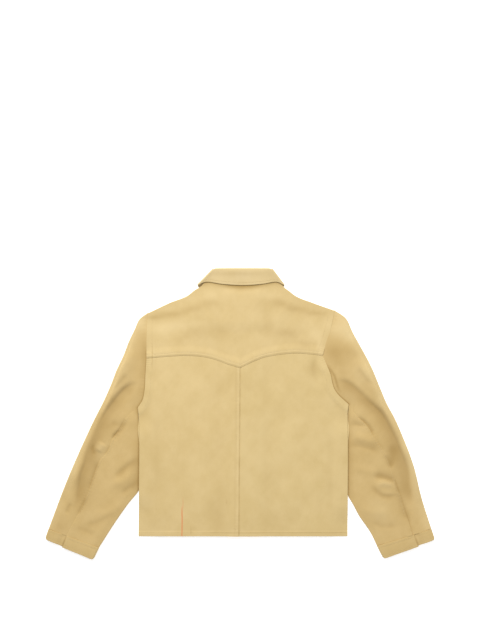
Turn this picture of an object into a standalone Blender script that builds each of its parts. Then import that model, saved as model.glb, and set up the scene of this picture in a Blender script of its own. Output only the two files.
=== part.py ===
"""A suede jacket laid flat, face down, its back up: pointed back yoke, two back panels, two fronts,
shirt collar, sleeves with cuffs, and the buttons of its front. Metres, +Z up out of the surface it
lies on, +Y towards the collar, the origin under the middle of its box."""

from collections import namedtuple

import bmesh
import bpy
import numpy as np

# Leather and seams
WALL = 0.0015
CUFF_WALL = 0.0024
SEAM_GAP = 0.0003
HALF = WALL / 2
FLOOR_LAYER = HALF
SECOND_LAYER = WALL + SEAM_GAP + HALF

# How far each thing that lies under a panel lifts it, and over what distance the lift fades
TUCK_RISE = 0.0044
TUCK_FADE = (0.016, 0.052)
TUCK_START = 0.060
TUCK_END = 0.056
TUCK_END_LEFT = -0.210
TUCK_END_RIGHT = -0.240
COLLAR_RISE = WALL + SEAM_GAP
COLLAR_FADE = (0.036, 0.070)
COLLAR_LINE = ((0.020, 0.284), (0.060, 0.286), (0.088, 0.315), (0.101, 0.345))
PLACKET_RISE = 0.0029
PLACKET_LEFT_FADE = (-0.062, -0.024)
PLACKET_RIGHT_FADE = (0.026, 0.068)
CROWN = 0.0026
CROWN_REACH = 0.06
BACK_OVER_PLACKET = 0.0024
BACK_FADE_ACROSS = (0.028, 0.068)
BACK_FADE_UP = (0.318, 0.346)

# Body, seen from above with the collar up
CENTRE = 0.007
HEM = -0.3243
ARMPIT_LEFT = (-0.2725, 0.0165)
ARMPIT_RIGHT = (0.2885, 0.0205)
SHOULDER_LEFT = (-0.2455, 0.2685)
SHOULDER_RIGHT = (0.2515, 0.2755)
NECK_HALF = 0.101
NECK_SIDE = 0.3525
NECK_BACK = 0.3500
NECK_FRONT = 0.2770
OVERLAP = 0.0125

# Steps of each grid
PANEL_SHARES = (0.0, 0.055, 0.11, 0.165, 0.23, 0.34, 0.50, 0.66, 0.75, 0.82, 0.90, 1.0)
UPPER_ARMHOLE_STEPS = 5
LOWER_ARMHOLE_STEPS = 5
SIDE_STEPS = 10
SHOULDER_STEPS = 8
NECK_STEPS = 6
LEAF_SIDE_STEPS = 5
LEAF_END_STEPS = 2
FRONT_NECK_STEPS = LEAF_SIDE_STEPS + LEAF_END_STEPS + 2

# Seams as the points that their curves pass through
YOKE_SEAM = (
    (-0.2475, 0.1490), (-0.1810, 0.1545), (-0.1360, 0.1560), (-0.0990, 0.1530), (-0.0690, 0.1465),
    (-0.0320, 0.1330), (0.0000, 0.1235),
    (0.0320, 0.1390), (0.0620, 0.1510), (0.0990, 0.1580), (0.1480, 0.1625), (0.1930, 0.1595),
    (0.2190, 0.1560),
)
YOKE_POINT = 6
UPPER_ARMHOLE_LEFT = ((-0.2475, 0.1490), (-0.2480, 0.2000), SHOULDER_LEFT)
LOWER_ARMHOLE_LEFT = (
    (-0.2475, 0.1490), (-0.2505, 0.1040), (-0.2530, 0.0640), (-0.2590, 0.0370), ARMPIT_LEFT,
)
UPPER_ARMHOLE_RIGHT = (
    (0.2190, 0.1560), (0.2230, 0.1710), (0.2310, 0.1950), (0.2450, 0.2450), SHOULDER_RIGHT,
)
LOWER_ARMHOLE_RIGHT = (
    (0.2190, 0.1560), (0.2300, 0.1330), (0.2450, 0.1040), (0.2500, 0.0750), (0.2620, 0.0500), ARMPIT_RIGHT,
)
SIDE_LEFT = (ARMPIT_LEFT, (-0.2690, -0.0160), (-0.2680, -0.0960), (-0.2695, -0.2030), (-0.2720, HEM))
SIDE_RIGHT = (ARMPIT_RIGHT, (0.2910, -0.0160), (0.2910, -0.0960), (0.2890, -0.2290), (0.2880, HEM))
SHOULDER_SEAM_LEFT = (
    SHOULDER_LEFT, (-0.1870, 0.2975), (-0.1360, 0.3185), (-0.1220, 0.3290), (-0.1040, 0.3400),
    (CENTRE - NECK_HALF, NECK_SIDE),
)
SHOULDER_SEAM_RIGHT = (
    (CENTRE + NECK_HALF, NECK_SIDE), (0.1160, 0.3400), (0.1310, 0.3290), (0.1450, 0.3185), (0.1940, 0.2985),
    SHOULDER_RIGHT,
)
FRONT_NECK = ((0.0, NECK_FRONT), (0.057, 0.2880), (0.088, 0.3150), (NECK_HALF, NECK_SIDE))

# Collar, its x measured from the garment's middle line: seam to the stand, then the leaf's outer edge
FOLD_BACK = 0.3889
STAND_TOP = FOLD_BACK - 0.0060
ROLL = 0.0022
ROLL_START = 0.0012
FRONT_ROLL = 0.0009
STAND_FROM_NECK = 1.5 * SEAM_GAP
FALL_FROM_STAND = 3.0 * SEAM_GAP
CORNER_GAP = 2.5 * SEAM_GAP
CORNER = (0.055, 0.076)
STAND_STEPS = 3
Station = namedtuple("Station", "seam_x seam_y seam_z edge_x edge_y edge_z")
FALL_BACK = (
    Station(0.0000, STAND_TOP, 0.0052, 0.0000, 0.3418, 0.0088),
    Station(0.0400, STAND_TOP, 0.0052, 0.0520, 0.3450, 0.0088),
    Station(0.0690, STAND_TOP - 0.0004, 0.0052, 0.0930, 0.3508, 0.0086),
    Station(0.0790, STAND_TOP - 0.0014, 0.0050, 0.1145, 0.3440, 0.0078),
)
FOLD_FRONT = (
    (0.0785, 0.3775), (0.0690, 0.3520), (0.0560, 0.3340), (0.0400, 0.3200), (0.0170, 0.3100),
    (-OVERLAP, 0.3085),
)
LEAF_SIDE = ((0.1150, 0.3400), (0.1040, 0.3050), (0.0660, 0.2560))
LEAF_END = ((0.0660, 0.2560), (0.0200, 0.2860))
TURN_STEPS = 4
FALL_STEPS = 4
ROLL_STEPS = 4

# Sleeves: plan edges from the shoulder or armpit to the cuff's seam
SLEEVE_OUTER_LEFT = (
    SHOULDER_LEFT, (-0.2680, 0.2520), (-0.2830, 0.2230), (-0.3310, 0.1160), (-0.4080, -0.0550),
    (-0.4640, -0.1830), (-0.5110, -0.3070),
)
SLEEVE_INNER_LEFT = (
    ARMPIT_LEFT, (-0.2730, -0.0300), (-0.2725, -0.0600), (-0.2620, -0.1000), (-0.2620, -0.1450),
    (-0.2735, -0.1940), (-0.2988, -0.2338), (-0.3420, -0.2977), (-0.3841, -0.3544),
)
SLEEVE_OUTER_RIGHT = (
    SHOULDER_RIGHT, (0.2850, 0.2520), (0.2990, 0.2230), (0.3550, 0.1160), (0.4320, -0.0550),
    (0.4640, -0.1400), (0.4850, -0.2250), (0.5110, -0.3070),
)
SLEEVE_INNER_RIGHT = (
    ARMPIT_RIGHT, (0.2950, -0.0300), (0.2950, -0.0600), (0.2845, -0.1050), (0.2840, -0.1700),
    (0.2960, -0.2240), (0.3198, -0.2663), (0.3500, -0.3192), (0.3791, -0.3500),
)
SLEEVE_ROWS = 26
ROWS_A_STEP = 2
TOP_STEPS = 20
OUTER_TURN_STEPS = 4
INNER_TURN_STEPS = 4
BOTTOM_STEPS = LOWER_ARMHOLE_STEPS + UPPER_ARMHOLE_STEPS
SLEEVE_LOFT = 0.0084
ARMPIT_EASE = 0.0030
ARMPIT_SHARE = 0.38
EDGE_SHARE = 0.12
EDGE_LOFT = 0.55
EDGE_ROLL = 0.0033
SHOULDER_FADE = 0.15
ARMHOLE_FADE = 0.075
TUCK_HEIGHT = 0.0040
UNDER_SIDE = (0.001, 0.034)
UNDER_TOP = (-0.01, 0.04)
UNDER_END = (0.215, 0.250)

# Cuffs: corners of the band's middle surface, how high it stands, and where its ends lie on each other
CUFF_SEAM_LEFT = ((-0.5071, -0.3089), (-0.3851, -0.3544))
CUFF_END_LEFT = ((-0.5159, -0.3335), (-0.3990, -0.3862))
CUFF_SEAM_RIGHT = ((0.5068, -0.3088), (0.3805, -0.3500))
CUFF_END_RIGHT = ((0.5159, -0.3346), (0.3881, -0.3834))
CUFF_HEIGHT = 0.0090
CUFF_LAP_LEFT = 0.36
CUFF_LAP_RIGHT = 0.32
CUFF_OVERLAP = 0.10
CUFF_SINK = 0.0010
CUFF_ROWS = 3
CUFF_TURN_POINTS = 5

# Folds that a hand would feel: three plan points, how wide, and how far they rise or sink
Fold = namedtuple("Fold", "x0 y0 x1 y1 x2 y2 half_width rise")
FOLDS_LEFT = (
    Fold(-0.292, 0.190, -0.352, 0.044, -0.452, -0.205, 0.026, 0.0075),
    Fold(-0.283, 0.074, -0.343, 0.025, -0.390, -0.042, 0.012, -0.0050),
    Fold(-0.390, -0.042, -0.420, -0.125, -0.438, -0.262, 0.013, -0.0052),
    Fold(-0.300, -0.010, -0.325, -0.050, -0.345, -0.070, 0.008, -0.0030),
    Fold(-0.362, -0.078, -0.369, -0.088, -0.376, -0.098, 0.011, 0.0042),
    Fold(-0.374, -0.120, -0.384, -0.150, -0.405, -0.210, 0.007, -0.0030),
    Fold(-0.272, -0.118, -0.302, -0.150, -0.340, -0.168, 0.011, -0.0026),
    Fold(-0.276, -0.150, -0.310, -0.178, -0.350, -0.190, 0.013, 0.0026),
    Fold(-0.276, -0.184, -0.295, -0.198, -0.318, -0.214, 0.009, -0.0020),
)
FOLDS_RIGHT = (
    Fold(0.318, 0.160, 0.382, 0.045, 0.470, -0.150, 0.026, 0.0080),
    Fold(0.275, 0.088, 0.330, 0.054, 0.386, -0.001, 0.012, -0.0050),
    Fold(0.386, -0.001, 0.428, -0.085, 0.452, -0.212, 0.013, -0.0056),
    Fold(0.310, -0.004, 0.340, -0.036, 0.362, -0.068, 0.008, -0.0032),
    Fold(0.288, -0.060, 0.330, -0.066, 0.372, -0.078, 0.014, 0.0030),
    Fold(0.290, -0.086, 0.340, -0.096, 0.392, -0.116, 0.010, -0.0034),
    Fold(0.404, -0.080, 0.407, -0.117, 0.400, -0.148, 0.011, -0.0030),
    Fold(0.352, -0.164, 0.390, -0.172, 0.420, -0.186, 0.010, -0.0034),
    Fold(0.362, -0.188, 0.390, -0.184, 0.410, -0.192, 0.009, 0.0026),
    Fold(0.420, -0.206, 0.436, -0.250, 0.455, -0.302, 0.008, -0.0022),
)

# Buttons of the front
BUTTON_RADIUS = 0.0085
BUTTON_THICKNESS = 0.0025
BUTTON_RIM = 0.0006
BUTTON_SEGMENTS = 20
FRONT_BUTTONS = 6
BUTTON_FROM_HEM = 0.045
BUTTON_FROM_NECK = 0.030
COLLAR_BUTTON_ABOVE_NECK = 0.013

# Finishes
SUEDE = (0.68, 0.53, 0.25, 1.0)
SUEDE_DARKER = (0.62, 0.47, 0.21, 1.0)
HORN = (0.36, 0.22, 0.10, 1.0)


def eased(value, start, end):
    """0 before start, 1 past end, and smooth between."""
    share = np.clip((np.asarray(value, float) - start) / (end - start), 0.0, 1.0)
    return share * share * (3.0 - 2.0 * share)


def along(points, shares):
    """Points at these shares of the length of a smooth curve through the points."""
    points = np.asarray(points, float)
    reach = np.concatenate([[0.0], np.cumsum(np.linalg.norm(np.diff(points, axis=0), axis=1))])
    slope = np.gradient(points, reach, axis=0)
    at = np.asarray(shares, float) * reach[-1]
    span = np.clip(np.searchsorted(reach, at, side="right") - 1, 0, len(reach) - 2)
    width = (reach[span + 1] - reach[span])[:, None]
    t = (at - reach[span])[:, None] / width
    start = (1 + 2 * t) * (1 - t) ** 2 * points[span] + t * (1 - t) ** 2 * width * slope[span]
    end = t * t * (3 - 2 * t) * points[span + 1] + t * t * (t - 1) * width * slope[span + 1]
    return start + end


def evenly(points, steps):
    return along(points, np.linspace(0.0, 1.0, steps + 1))


def joined(first, second):
    """Two runs of points as one, where the second starts at the end of the first."""
    return np.concatenate([first, second[1:]])


def shifted(points, distance):
    """A plan curve moved sideways, to the right of the way it runs."""
    ahead = np.gradient(points, axis=0)
    ahead /= np.linalg.norm(ahead, axis=1)[:, None]
    return points + distance * np.stack([ahead[:, 1], -ahead[:, 0]], axis=1)


def distance_to(x, y, *corners):
    """Distance in plan from each (x, y) to an open run of straight lines, and the share of the run there."""
    nearest = np.full(np.shape(x), np.inf)
    share = np.zeros(np.shape(x))
    runs = len(corners) - 1
    for number, ((ax, ay), (bx, by)) in enumerate(zip(corners, corners[1:])):
        length2 = (bx - ax) ** 2 + (by - ay) ** 2
        t = np.clip(((x - ax) * (bx - ax) + (y - ay) * (by - ay)) / length2, 0.0, 1.0)
        distance = np.hypot(x - ax - t * (bx - ax), y - ay - t * (by - ay))
        closer = distance < nearest
        nearest = np.where(closer, distance, nearest)
        share = np.where(closer, (number + t) / runs, share)
    return nearest, share


def fold_height(x, y, folds):
    """The sum of the folds: each rises or sinks as a bell across its line and fades towards its ends."""
    height = np.zeros(np.shape(x))
    for fold in folds:
        distance, share = distance_to(x, y, (fold.x0, fold.y0), (fold.x1, fold.y1), (fold.x2, fold.y2))
        fade = 0.25 + 0.75 * eased(np.minimum(share, 1.0 - share), 0.0, 0.3)
        height += fold.rise * fade * np.exp(-((distance / fold.half_width) ** 2))
    return height


def side_x(y, side):
    """The body's side edge at each y."""
    points = np.asarray(side)
    return np.interp(y, points[::-1, 1], points[::-1, 0])


def tuck_lift(x, y):
    """The body's sides ride over the sleeves between the armpits and where the sleeves part from it."""
    lift = 0.0
    for side, inward, end in ((SIDE_LEFT, 1.0, TUCK_END_LEFT), (SIDE_RIGHT, -1.0, TUCK_END_RIGHT)):
        depth = (x - side_x(y, side)) * inward
        across = 1.0 - eased(depth, *TUCK_FADE)
        lengthwise = eased(-y, 0.0, TUCK_START) * (1.0 - eased(-y, -end, TUCK_END - end))
        lift = lift + TUCK_RISE * across * lengthwise
    return lift


def collar_lift(x, y):
    """The fronts and the shoulders ride over the collar's front leaf."""
    middle = np.abs(x - CENTRE)
    distance, _ = distance_to(middle, y, *COLLAR_LINE)
    return COLLAR_RISE * (1.0 - eased(distance, *COLLAR_FADE))


def left_front_height(x, y):
    placket = PLACKET_RISE * eased(x - CENTRE, *PLACKET_LEFT_FADE)
    return FLOOR_LAYER + np.maximum(placket, collar_lift(x, y)) + tuck_lift(x, y)


def right_front_height(x, y):
    placket = (PLACKET_RISE + WALL + SEAM_GAP) * (1.0 - eased(x - CENTRE, *PLACKET_RIGHT_FADE))
    return FLOOR_LAYER + np.maximum(placket, collar_lift(x, y)) + tuck_lift(x, y)


def crown(x, y):
    """1 over the middle of the body, 0 at the side and shoulder seams."""
    share = 1.0
    for seam in (
        (ARMPIT_LEFT, SIDE_LEFT[2], SIDE_LEFT[-1]),
        (ARMPIT_RIGHT, SIDE_RIGHT[2], SIDE_RIGHT[-1]),
        (SHOULDER_LEFT, SHOULDER_SEAM_LEFT[2], SHOULDER_SEAM_LEFT[-1]),
        (SHOULDER_RIGHT, SHOULDER_SEAM_RIGHT[2], SHOULDER_SEAM_RIGHT[0]),
    ):
        distance, _ = distance_to(x, y, *seam)
        share = share * eased(distance, 0.0, CROWN_REACH)
    return share


def back_height(x, y):
    over_placket = BACK_OVER_PLACKET * (1.0 - eased(np.abs(x - CENTRE), *BACK_FADE_ACROSS))
    over_placket = over_placket * (1.0 - eased(y, *BACK_FADE_UP))
    body = SECOND_LAYER + CROWN * crown(x, y) + over_placket
    return body + collar_lift(x, y) + tuck_lift(x, y)


def coons(bottom, top, left, right):
    """Grid of points that blends four edges: bottom and top run to the right, left and right run up."""
    u = np.linspace(0.0, 1.0, len(bottom))[None, :, None]
    v = np.linspace(0.0, 1.0, len(left))[:, None, None]
    across = (1 - u) * left[:, None] + u * right[:, None]
    upward = (1 - v) * bottom[None] + v * top[None]
    corners = (1 - v) * ((1 - u) * bottom[0] + u * bottom[-1]) + v * ((1 - u) * top[0] + u * top[-1])
    return across + upward - corners


def with_height(plan, height):
    return np.dstack([plan, height(plan[..., 0], plan[..., 1])])


def material(name, colour, roughness):
    made = bpy.data.materials.new(name)
    made.use_nodes = True
    shader = made.node_tree.nodes["Principled BSDF"]
    shader.inputs["Base Color"].default_value = colour
    shader.inputs["Roughness"].default_value = roughness
    shader.inputs["Metallic"].default_value = 0.0
    return made


def sheet(name, points, colour, collection, wall=WALL, around=False):
    """An open grid of mid-wall points given its thickness; a tube's first and last columns are one."""
    rows, columns = points.shape[:2]
    mesh = bmesh.new()
    bmesh.ops.create_grid(mesh, x_segments=columns - 1, y_segments=rows - 1, size=0.5)
    mesh.verts.ensure_lookup_table()
    for vertex, point in zip(mesh.verts, points.reshape(-1, 3)):
        vertex.co = point
    if around:
        bmesh.ops.remove_doubles(mesh, verts=mesh.verts, dist=0.00001)
    data = bpy.data.meshes.new(name)
    mesh.to_mesh(data)
    mesh.free()
    data.materials.append(material(name, colour, 0.9))
    data.shade_smooth()
    node = bpy.data.objects.new(name, data)
    collection.objects.link(node)
    solidify = node.modifiers.new("Leather", "SOLIDIFY")
    solidify.thickness = wall
    solidify.offset = 0.0


def back_neckline():
    return evenly(((-NECK_HALF, NECK_SIDE), (0.0, NECK_BACK), (NECK_HALF, NECK_SIDE)), NECK_STEPS)


def body_pieces(collection):
    shares = np.array(PANEL_SHARES)
    yoke_seam_left = along(YOKE_SEAM[: YOKE_POINT + 1], shares)
    yoke_seam_right = along(YOKE_SEAM[YOKE_POINT:], 1.0 - shares[::-1])
    upper_left = evenly(UPPER_ARMHOLE_LEFT, UPPER_ARMHOLE_STEPS)
    lower_left = evenly(LOWER_ARMHOLE_LEFT, LOWER_ARMHOLE_STEPS)
    upper_right = evenly(UPPER_ARMHOLE_RIGHT, UPPER_ARMHOLE_STEPS)
    lower_right = evenly(LOWER_ARMHOLE_RIGHT, LOWER_ARMHOLE_STEPS)
    side_left = joined(lower_left, evenly(SIDE_LEFT, SIDE_STEPS))[::-1]
    side_right = joined(lower_right, evenly(SIDE_RIGHT, SIDE_STEPS))[::-1]
    shoulder_left = evenly(SHOULDER_SEAM_LEFT, SHOULDER_STEPS)
    shoulder_right = evenly(SHOULDER_SEAM_RIGHT, SHOULDER_STEPS)
    yoke_top = joined(joined(shoulder_left, back_neckline() + (CENTRE, 0.0)), shoulder_right)
    gap = np.array([0.0, SEAM_GAP / 2])

    yoke_seam = joined(yoke_seam_left, yoke_seam_right)
    yoke = coons(yoke_seam + gap, yoke_top + gap, upper_left + gap, upper_right + gap)
    sheet("back_yoke", with_height(yoke, back_height), SUEDE, collection)

    hem_left = along((side_left[0], (-SEAM_GAP / 2, HEM)), shares)
    hem_right = along(((SEAM_GAP / 2, HEM), side_right[0]), 1.0 - shares[::-1])
    aside = np.array([SEAM_GAP / 2, 0.0])
    centre_left = np.linspace(hem_left[-1], yoke_seam_left[-1] - gap - aside, len(side_left))
    centre_right = np.linspace(hem_right[0], yoke_seam_right[0] - gap + aside, len(side_right))
    top_left = yoke_seam_left - gap
    top_left[-1] -= aside
    top_right = yoke_seam_right - gap
    top_right[0] += aside
    left = side_left.copy()
    left[-1] -= gap
    right = side_right.copy()
    right[-1] -= gap
    left_panel = coons(hem_left, top_left, left, centre_left)
    right_panel = coons(hem_right, top_right, centre_right, right)
    sheet("back_left", with_height(left_panel, back_height), SUEDE, collection)
    sheet("back_right", with_height(right_panel, back_height), SUEDE, collection)

    neck = np.array(FRONT_NECK)
    neck_right = neck + (CENTRE, 0.0)
    neck_left = neck * (-1, 1) + (CENTRE, 0.0)
    shoulder_right = shoulder_right[::-1]
    for name, side, upper, shoulder, opening, height, facing in (
        ("front_left", side_left, upper_left, shoulder_left, neck_left, left_front_height, -1),
        ("front_right", side_right, upper_right, shoulder_right, neck_right, right_front_height, 1),
    ):
        outer = joined(side, upper)
        edge_x = CENTRE - facing * OVERLAP
        opening = np.concatenate([[(edge_x, NECK_FRONT)], opening[1:]])
        straight = np.linspace((edge_x, HEM), (edge_x, NECK_FRONT), len(outer) - FRONT_NECK_STEPS)
        inner = joined(straight, evenly(opening, FRONT_NECK_STEPS))
        hem = along((outer[0], inner[0]), shares)
        top = along(shoulder, shares)
        if facing < 0:
            plan = coons(hem, top, outer, inner)
        else:
            plan = coons(hem[::-1], top[::-1], inner, outer)
        sheet(name, with_height(plan, height), SUEDE_DARKER, collection)


def turned(back, front, outward):
    """Points of a half turn from the upper layer to the lower, bulging outward by half their distance."""
    radius = (back[2] - front[2]) / 2
    points = []
    for angle in np.linspace(0.0, np.pi, TURN_STEPS + 1)[1:-1]:
        share = (1 - np.cos(angle)) / 2
        points.append(back + share * (front - back) + np.sin(angle) * radius * outward)
    return np.array(points)


def collar_half(side, lift):
    """From the middle of the back round to the front: points of the neck seam, the fold's seam and the
    leaf's edge, the way that faces out, and the radius of the fold's roll."""
    place = np.array([side, 1.0])
    middle = np.array([CENTRE, 0.0])
    neck = back_neckline()[NECK_STEPS // 2:] * place + middle
    neck = np.column_stack([neck, back_height(neck[:, 0], neck[:, 1])])
    front = evenly(((-OVERLAP, NECK_FRONT),) + FRONT_NECK[1:], FRONT_NECK_STEPS)[::-1] * place + middle
    front = np.column_stack([front, lift(front[:, 0], front[:, 1])])
    table = np.array(FALL_BACK)
    fold, edge = table[:, :3], table[:, 3:]
    for points in (fold, edge):
        points[:, 0] = points[:, 0] * side + CENTRE
    fold_front = evenly(FOLD_FRONT, FRONT_NECK_STEPS) * place + middle
    fold_front = np.column_stack([fold_front, lift(fold_front[:, 0], fold_front[:, 1])])
    leaf = joined(evenly(LEAF_SIDE, LEAF_SIDE_STEPS), evenly(LEAF_END, LEAF_END_STEPS))
    edge_front = leaf * place + middle
    edge_front = np.column_stack([edge_front, np.full(len(edge_front), FLOOR_LAYER)])
    down = edge[-1] - fold[-1]
    outward = np.array([-down[1], down[0], 0.0]) * side
    outward /= np.linalg.norm(outward)
    neck = np.concatenate([neck, turned(neck[-1], front[0], outward), front])
    fold = np.concatenate([fold, turned(fold[-1], fold_front[0], outward), fold_front])
    edge = np.concatenate([edge, turned(edge[-1], edge_front[0], outward), edge_front])
    backs, fronts = len(table), len(edge_front)
    turn = np.linspace(0.0, np.pi, TURN_STEPS + 1)
    angle = np.concatenate([np.zeros(backs - 1), turn, np.full(fronts - 1, np.pi)])
    out = np.sin(angle)[:, None] * outward + np.cos(angle)[:, None] * np.array([0.0, 0.0, 1.0])
    roll = np.interp(angle, (0.0, np.pi), (ROLL, FRONT_ROLL))
    roll[-fronts:] = (fold[backs + TURN_STEPS - 1:][:fronts, 2] - FLOOR_LAYER) / 2
    return neck, fold, edge, out, roll


def collar(collection):
    stand_halves, fall_halves = [], []
    for side, lift in ((-1, left_front_height), (1, right_front_height)):
        neck, fold, edge, out, roll = collar_half(side, lift)
        beyond = fold - neck
        beyond[:, 2] = 0.0
        beyond /= np.linalg.norm(beyond, axis=1)[:, None]
        start = neck + STAND_FROM_NECK * beyond
        shares = np.linspace(0.0, 1.0, STAND_STEPS + 1)[:, None, None]
        stand_halves.append((1 - shares) * start + shares * fold)
        count = len(edge)
        fold, beyond, roll = fold[:count], beyond[:count], roll[:, None]
        gap = FALL_FROM_STAND + CORNER_GAP * eased(np.abs(fold[:, :1] - CENTRE), *CORNER)
        rows = [fold + gap * beyond]
        for turn in np.linspace(0.0, np.pi, ROLL_STEPS + 1):
            arc = np.sin(turn) * beyond + (1 - np.cos(turn)) * out
            rows.append(rows[0] + ROLL_START * beyond + roll * arc)
        over = rows[-1]
        for share in np.linspace(0.0, 1.0, FALL_STEPS + 1)[1:]:
            rows.append((1 - share) * over + share * edge)
        fall_halves.append(np.array(rows))
    for name, halves in (("collar_stand", stand_halves), ("collar_fall", fall_halves)):
        ring = np.concatenate([halves[0][:, ::-1], halves[1][:, 1:]], axis=1)
        sheet(name, ring, SUEDE, collection)


def sleeve_height(x, y, share, folds, side, armhole, inward):
    """Mid-wall height of a sleeve's upper layer: the back's height at the armhole, then a soft loft with
    its folds, a little lower along both edges and low where it slips under the body's side."""
    loft = SLEEVE_LOFT - HALF + fold_height(x, y, folds)
    outside = (side_x(y, side) - x) * inward
    under = 1.0 - eased(outside, *UNDER_SIDE)
    under = under * (1.0 - eased(-y, *UNDER_END)) * eased(-y, *UNDER_TOP)
    loft = loft * (1.0 - under) + (TUCK_HEIGHT - HALF) * under
    lowest = SECOND_LAYER + SEAM_GAP
    loft = np.maximum(loft, lowest + SEAM_GAP)
    ends = eased(share, 0.0, EDGE_SHARE) * eased(1.0 - share, 0.0, EDGE_SHARE)
    loft = lowest + (loft - lowest) * (EDGE_LOFT + (1.0 - EDGE_LOFT) * ends)
    away, _ = distance_to(x, y, *armhole)
    start = eased(away, 0.0, ARMHOLE_FADE)
    return back_height(x, y) * (1.0 - start) + loft * start


def rounded(at, high, way, angles):
    """Points of a half turn at the sleeve's edge, from the upper layer (angle 0) to the lower one."""
    radius = (high - FLOOR_LAYER) / 2
    plan = at + np.sin(angles)[:, None] * radius * way
    return np.column_stack([plan, FLOOR_LAYER + radius * (1 + np.cos(angles))])


def sleeve(name, outer, inner, upper, lower, folds, side, inward, collection):
    """A flattened tube in one grid: from the fold at the underarm over the top layer to the outer edge,
    under it and back flat on the floor. Beside the armhole the two layers stay apart."""
    armhole = joined(upper[::-1], lower)
    upper = shifted(upper[::-1], inward * SEAM_GAP)
    lower = shifted(lower, inward * SEAM_GAP)
    lower[0] = upper[-1]
    lower[-1, 0] -= inward * ARMPIT_EASE
    outer_points = np.array(outer, float)
    outer_points[0] = upper[0]
    rows = np.linspace(0.0, 1.0, SLEEVE_ROWS + 1)
    armpit_row = ROWS_A_STEP * LOWER_ARMHOLE_STEPS
    out_shares = np.interp(rows, (0.0, armpit_row / SLEEVE_ROWS, 1.0), (0.0, ARMPIT_SHARE, 1.0))
    outer = along(outer_points, out_shares)
    roll = EDGE_ROLL * eased(out_shares, 0.0, SHOULDER_FADE)[:, None]
    outer = shifted(outer, -inward * roll)
    beside = np.linspace(0.0, LOWER_ARMHOLE_STEPS, armpit_row + 1)
    beside = np.stack([np.interp(beside, range(len(lower)), lower[:, axis]) for axis in (0, 1)], axis=1)
    inner = joined(beside, evenly((lower[-1],) + inner[1:], SLEEVE_ROWS - armpit_row))
    bow = upper - np.linspace(upper[0], upper[-1], len(upper))
    knots = np.linspace(0.0, 1.0, len(upper))
    half_turn = np.linspace(0.0, np.pi / 2, INNER_TURN_STEPS // 2 + 1)
    outer_turn = np.linspace(0.0, np.pi, OUTER_TURN_STEPS + 1)[1:-1]
    ring = []
    for row, (start, end) in enumerate(zip(outer, inner)):
        way = (end - start) / np.linalg.norm(end - start)
        fade = 1.0 - eased(row, 0.0, armpit_row)
        shares = np.linspace(1.0, 0.0, TOP_STEPS + 1)
        bend = np.stack([np.interp(shares, knots, bow[:, axis]) for axis in (0, 1)], axis=1)
        top = start + shares[:, None] * (end - start) + fade * bend
        height = sleeve_height(top[:, 0], top[:, 1], shares, folds, side, armhole, inward)
        bottom = top[::-(TOP_STEPS // BOTTOM_STEPS)]
        over = rounded(end, height[0], way, half_turn[::-1])[:-1]
        under = rounded(end, height[0], way, np.pi - half_turn)[1:]
        if row < armpit_row:
            over[:] = np.append(end, height[0])
            under[:] = np.append(end, FLOOR_LAYER)
        ring.append(np.concatenate([
            over,
            np.column_stack([top, height]),
            rounded(start, height[-1], -way, outer_turn),
            np.column_stack([bottom, np.full(len(bottom), FLOOR_LAYER)]),
            under,
        ]))
    sheet(name, np.array(ring), SUEDE, collection, around=True)


def cuff(name, seam, end, lap, collection):
    """A band round the sleeve's end, whose two ends lie one on the other where the sleeve is slit."""
    seam_outer, seam_inner = np.array(seam)
    end_outer, end_inner = np.array(end)
    low = CUFF_WALL / 2
    high = CUFF_HEIGHT - CUFF_WALL / 2
    under = high - CUFF_WALL - SEAM_GAP
    radius = (high - low) / 2
    width = np.linalg.norm(seam_inner - seam_outer)
    angles = np.linspace(0.0, np.pi, CUFF_TURN_POINTS)
    bulge = np.sin(angles) * radius / width
    fall = low + radius * (1 + np.cos(angles))
    flat = np.linspace(0.1, 0.9, CUFF_TURN_POINTS)
    lapped = lap + CUFF_OVERLAP
    covered = (lapped, lap, lap - CUFF_OVERLAP)
    free = (lap - 2 * CUFF_OVERLAP, 0.05)
    cover = (0.9, 0.75, 0.6, lapped, lap)
    shares = np.concatenate([covered, free, -bulge, flat, 1.0 + bulge, cover])
    heights = np.concatenate([
        np.array([under, under, under + CUFF_SINK]),
        np.full(len(free), high),
        fall,
        np.full(len(flat), low),
        fall[::-1],
        np.full(len(cover), high),
    ])
    shares = shares[None, :, None]
    rows = np.linspace(0.0, 1.0, CUFF_ROWS + 1)[:, None, None]
    seam_line = seam_outer + shares * (seam_inner - seam_outer)
    end_line = end_outer + shares * (end_inner - end_outer)
    plan = (1 - rows) * seam_line + rows * end_line
    height = np.broadcast_to(heights, plan.shape[:2])
    sheet(name, np.dstack([plan, height]), SUEDE_DARKER, collection, wall=CUFF_WALL)


def button(name, x, y, bone, collection):
    """A plain turned disc with a rounded rim, its face on the floor."""
    mesh = bmesh.new()
    bmesh.ops.create_cone(
        mesh, cap_ends=True, segments=BUTTON_SEGMENTS,
        radius1=BUTTON_RADIUS, radius2=BUTTON_RADIUS, depth=BUTTON_THICKNESS,
    )
    data = bpy.data.meshes.new(name)
    mesh.to_mesh(data)
    mesh.free()
    data.materials.append(bone)
    node = bpy.data.objects.new(name, data)
    node.location = (x, y, BUTTON_THICKNESS / 2)
    collection.objects.link(node)
    rim = node.modifiers.new("Rim", "BEVEL")
    rim.width = BUTTON_RIM
    rim.segments = 1


def buttons(collection):
    bone = material("button", HORN, 0.4)
    heights = np.linspace(NECK_FRONT - BUTTON_FROM_NECK, HEM + BUTTON_FROM_HEM, FRONT_BUTTONS)
    for number, y in enumerate(heights):
        button(f"button_front_{number + 1}", CENTRE, y, bone, collection)
    button("button_collar", CENTRE, NECK_FRONT + COLLAR_BUTTON_ABOVE_NECK, bone, collection)


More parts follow.
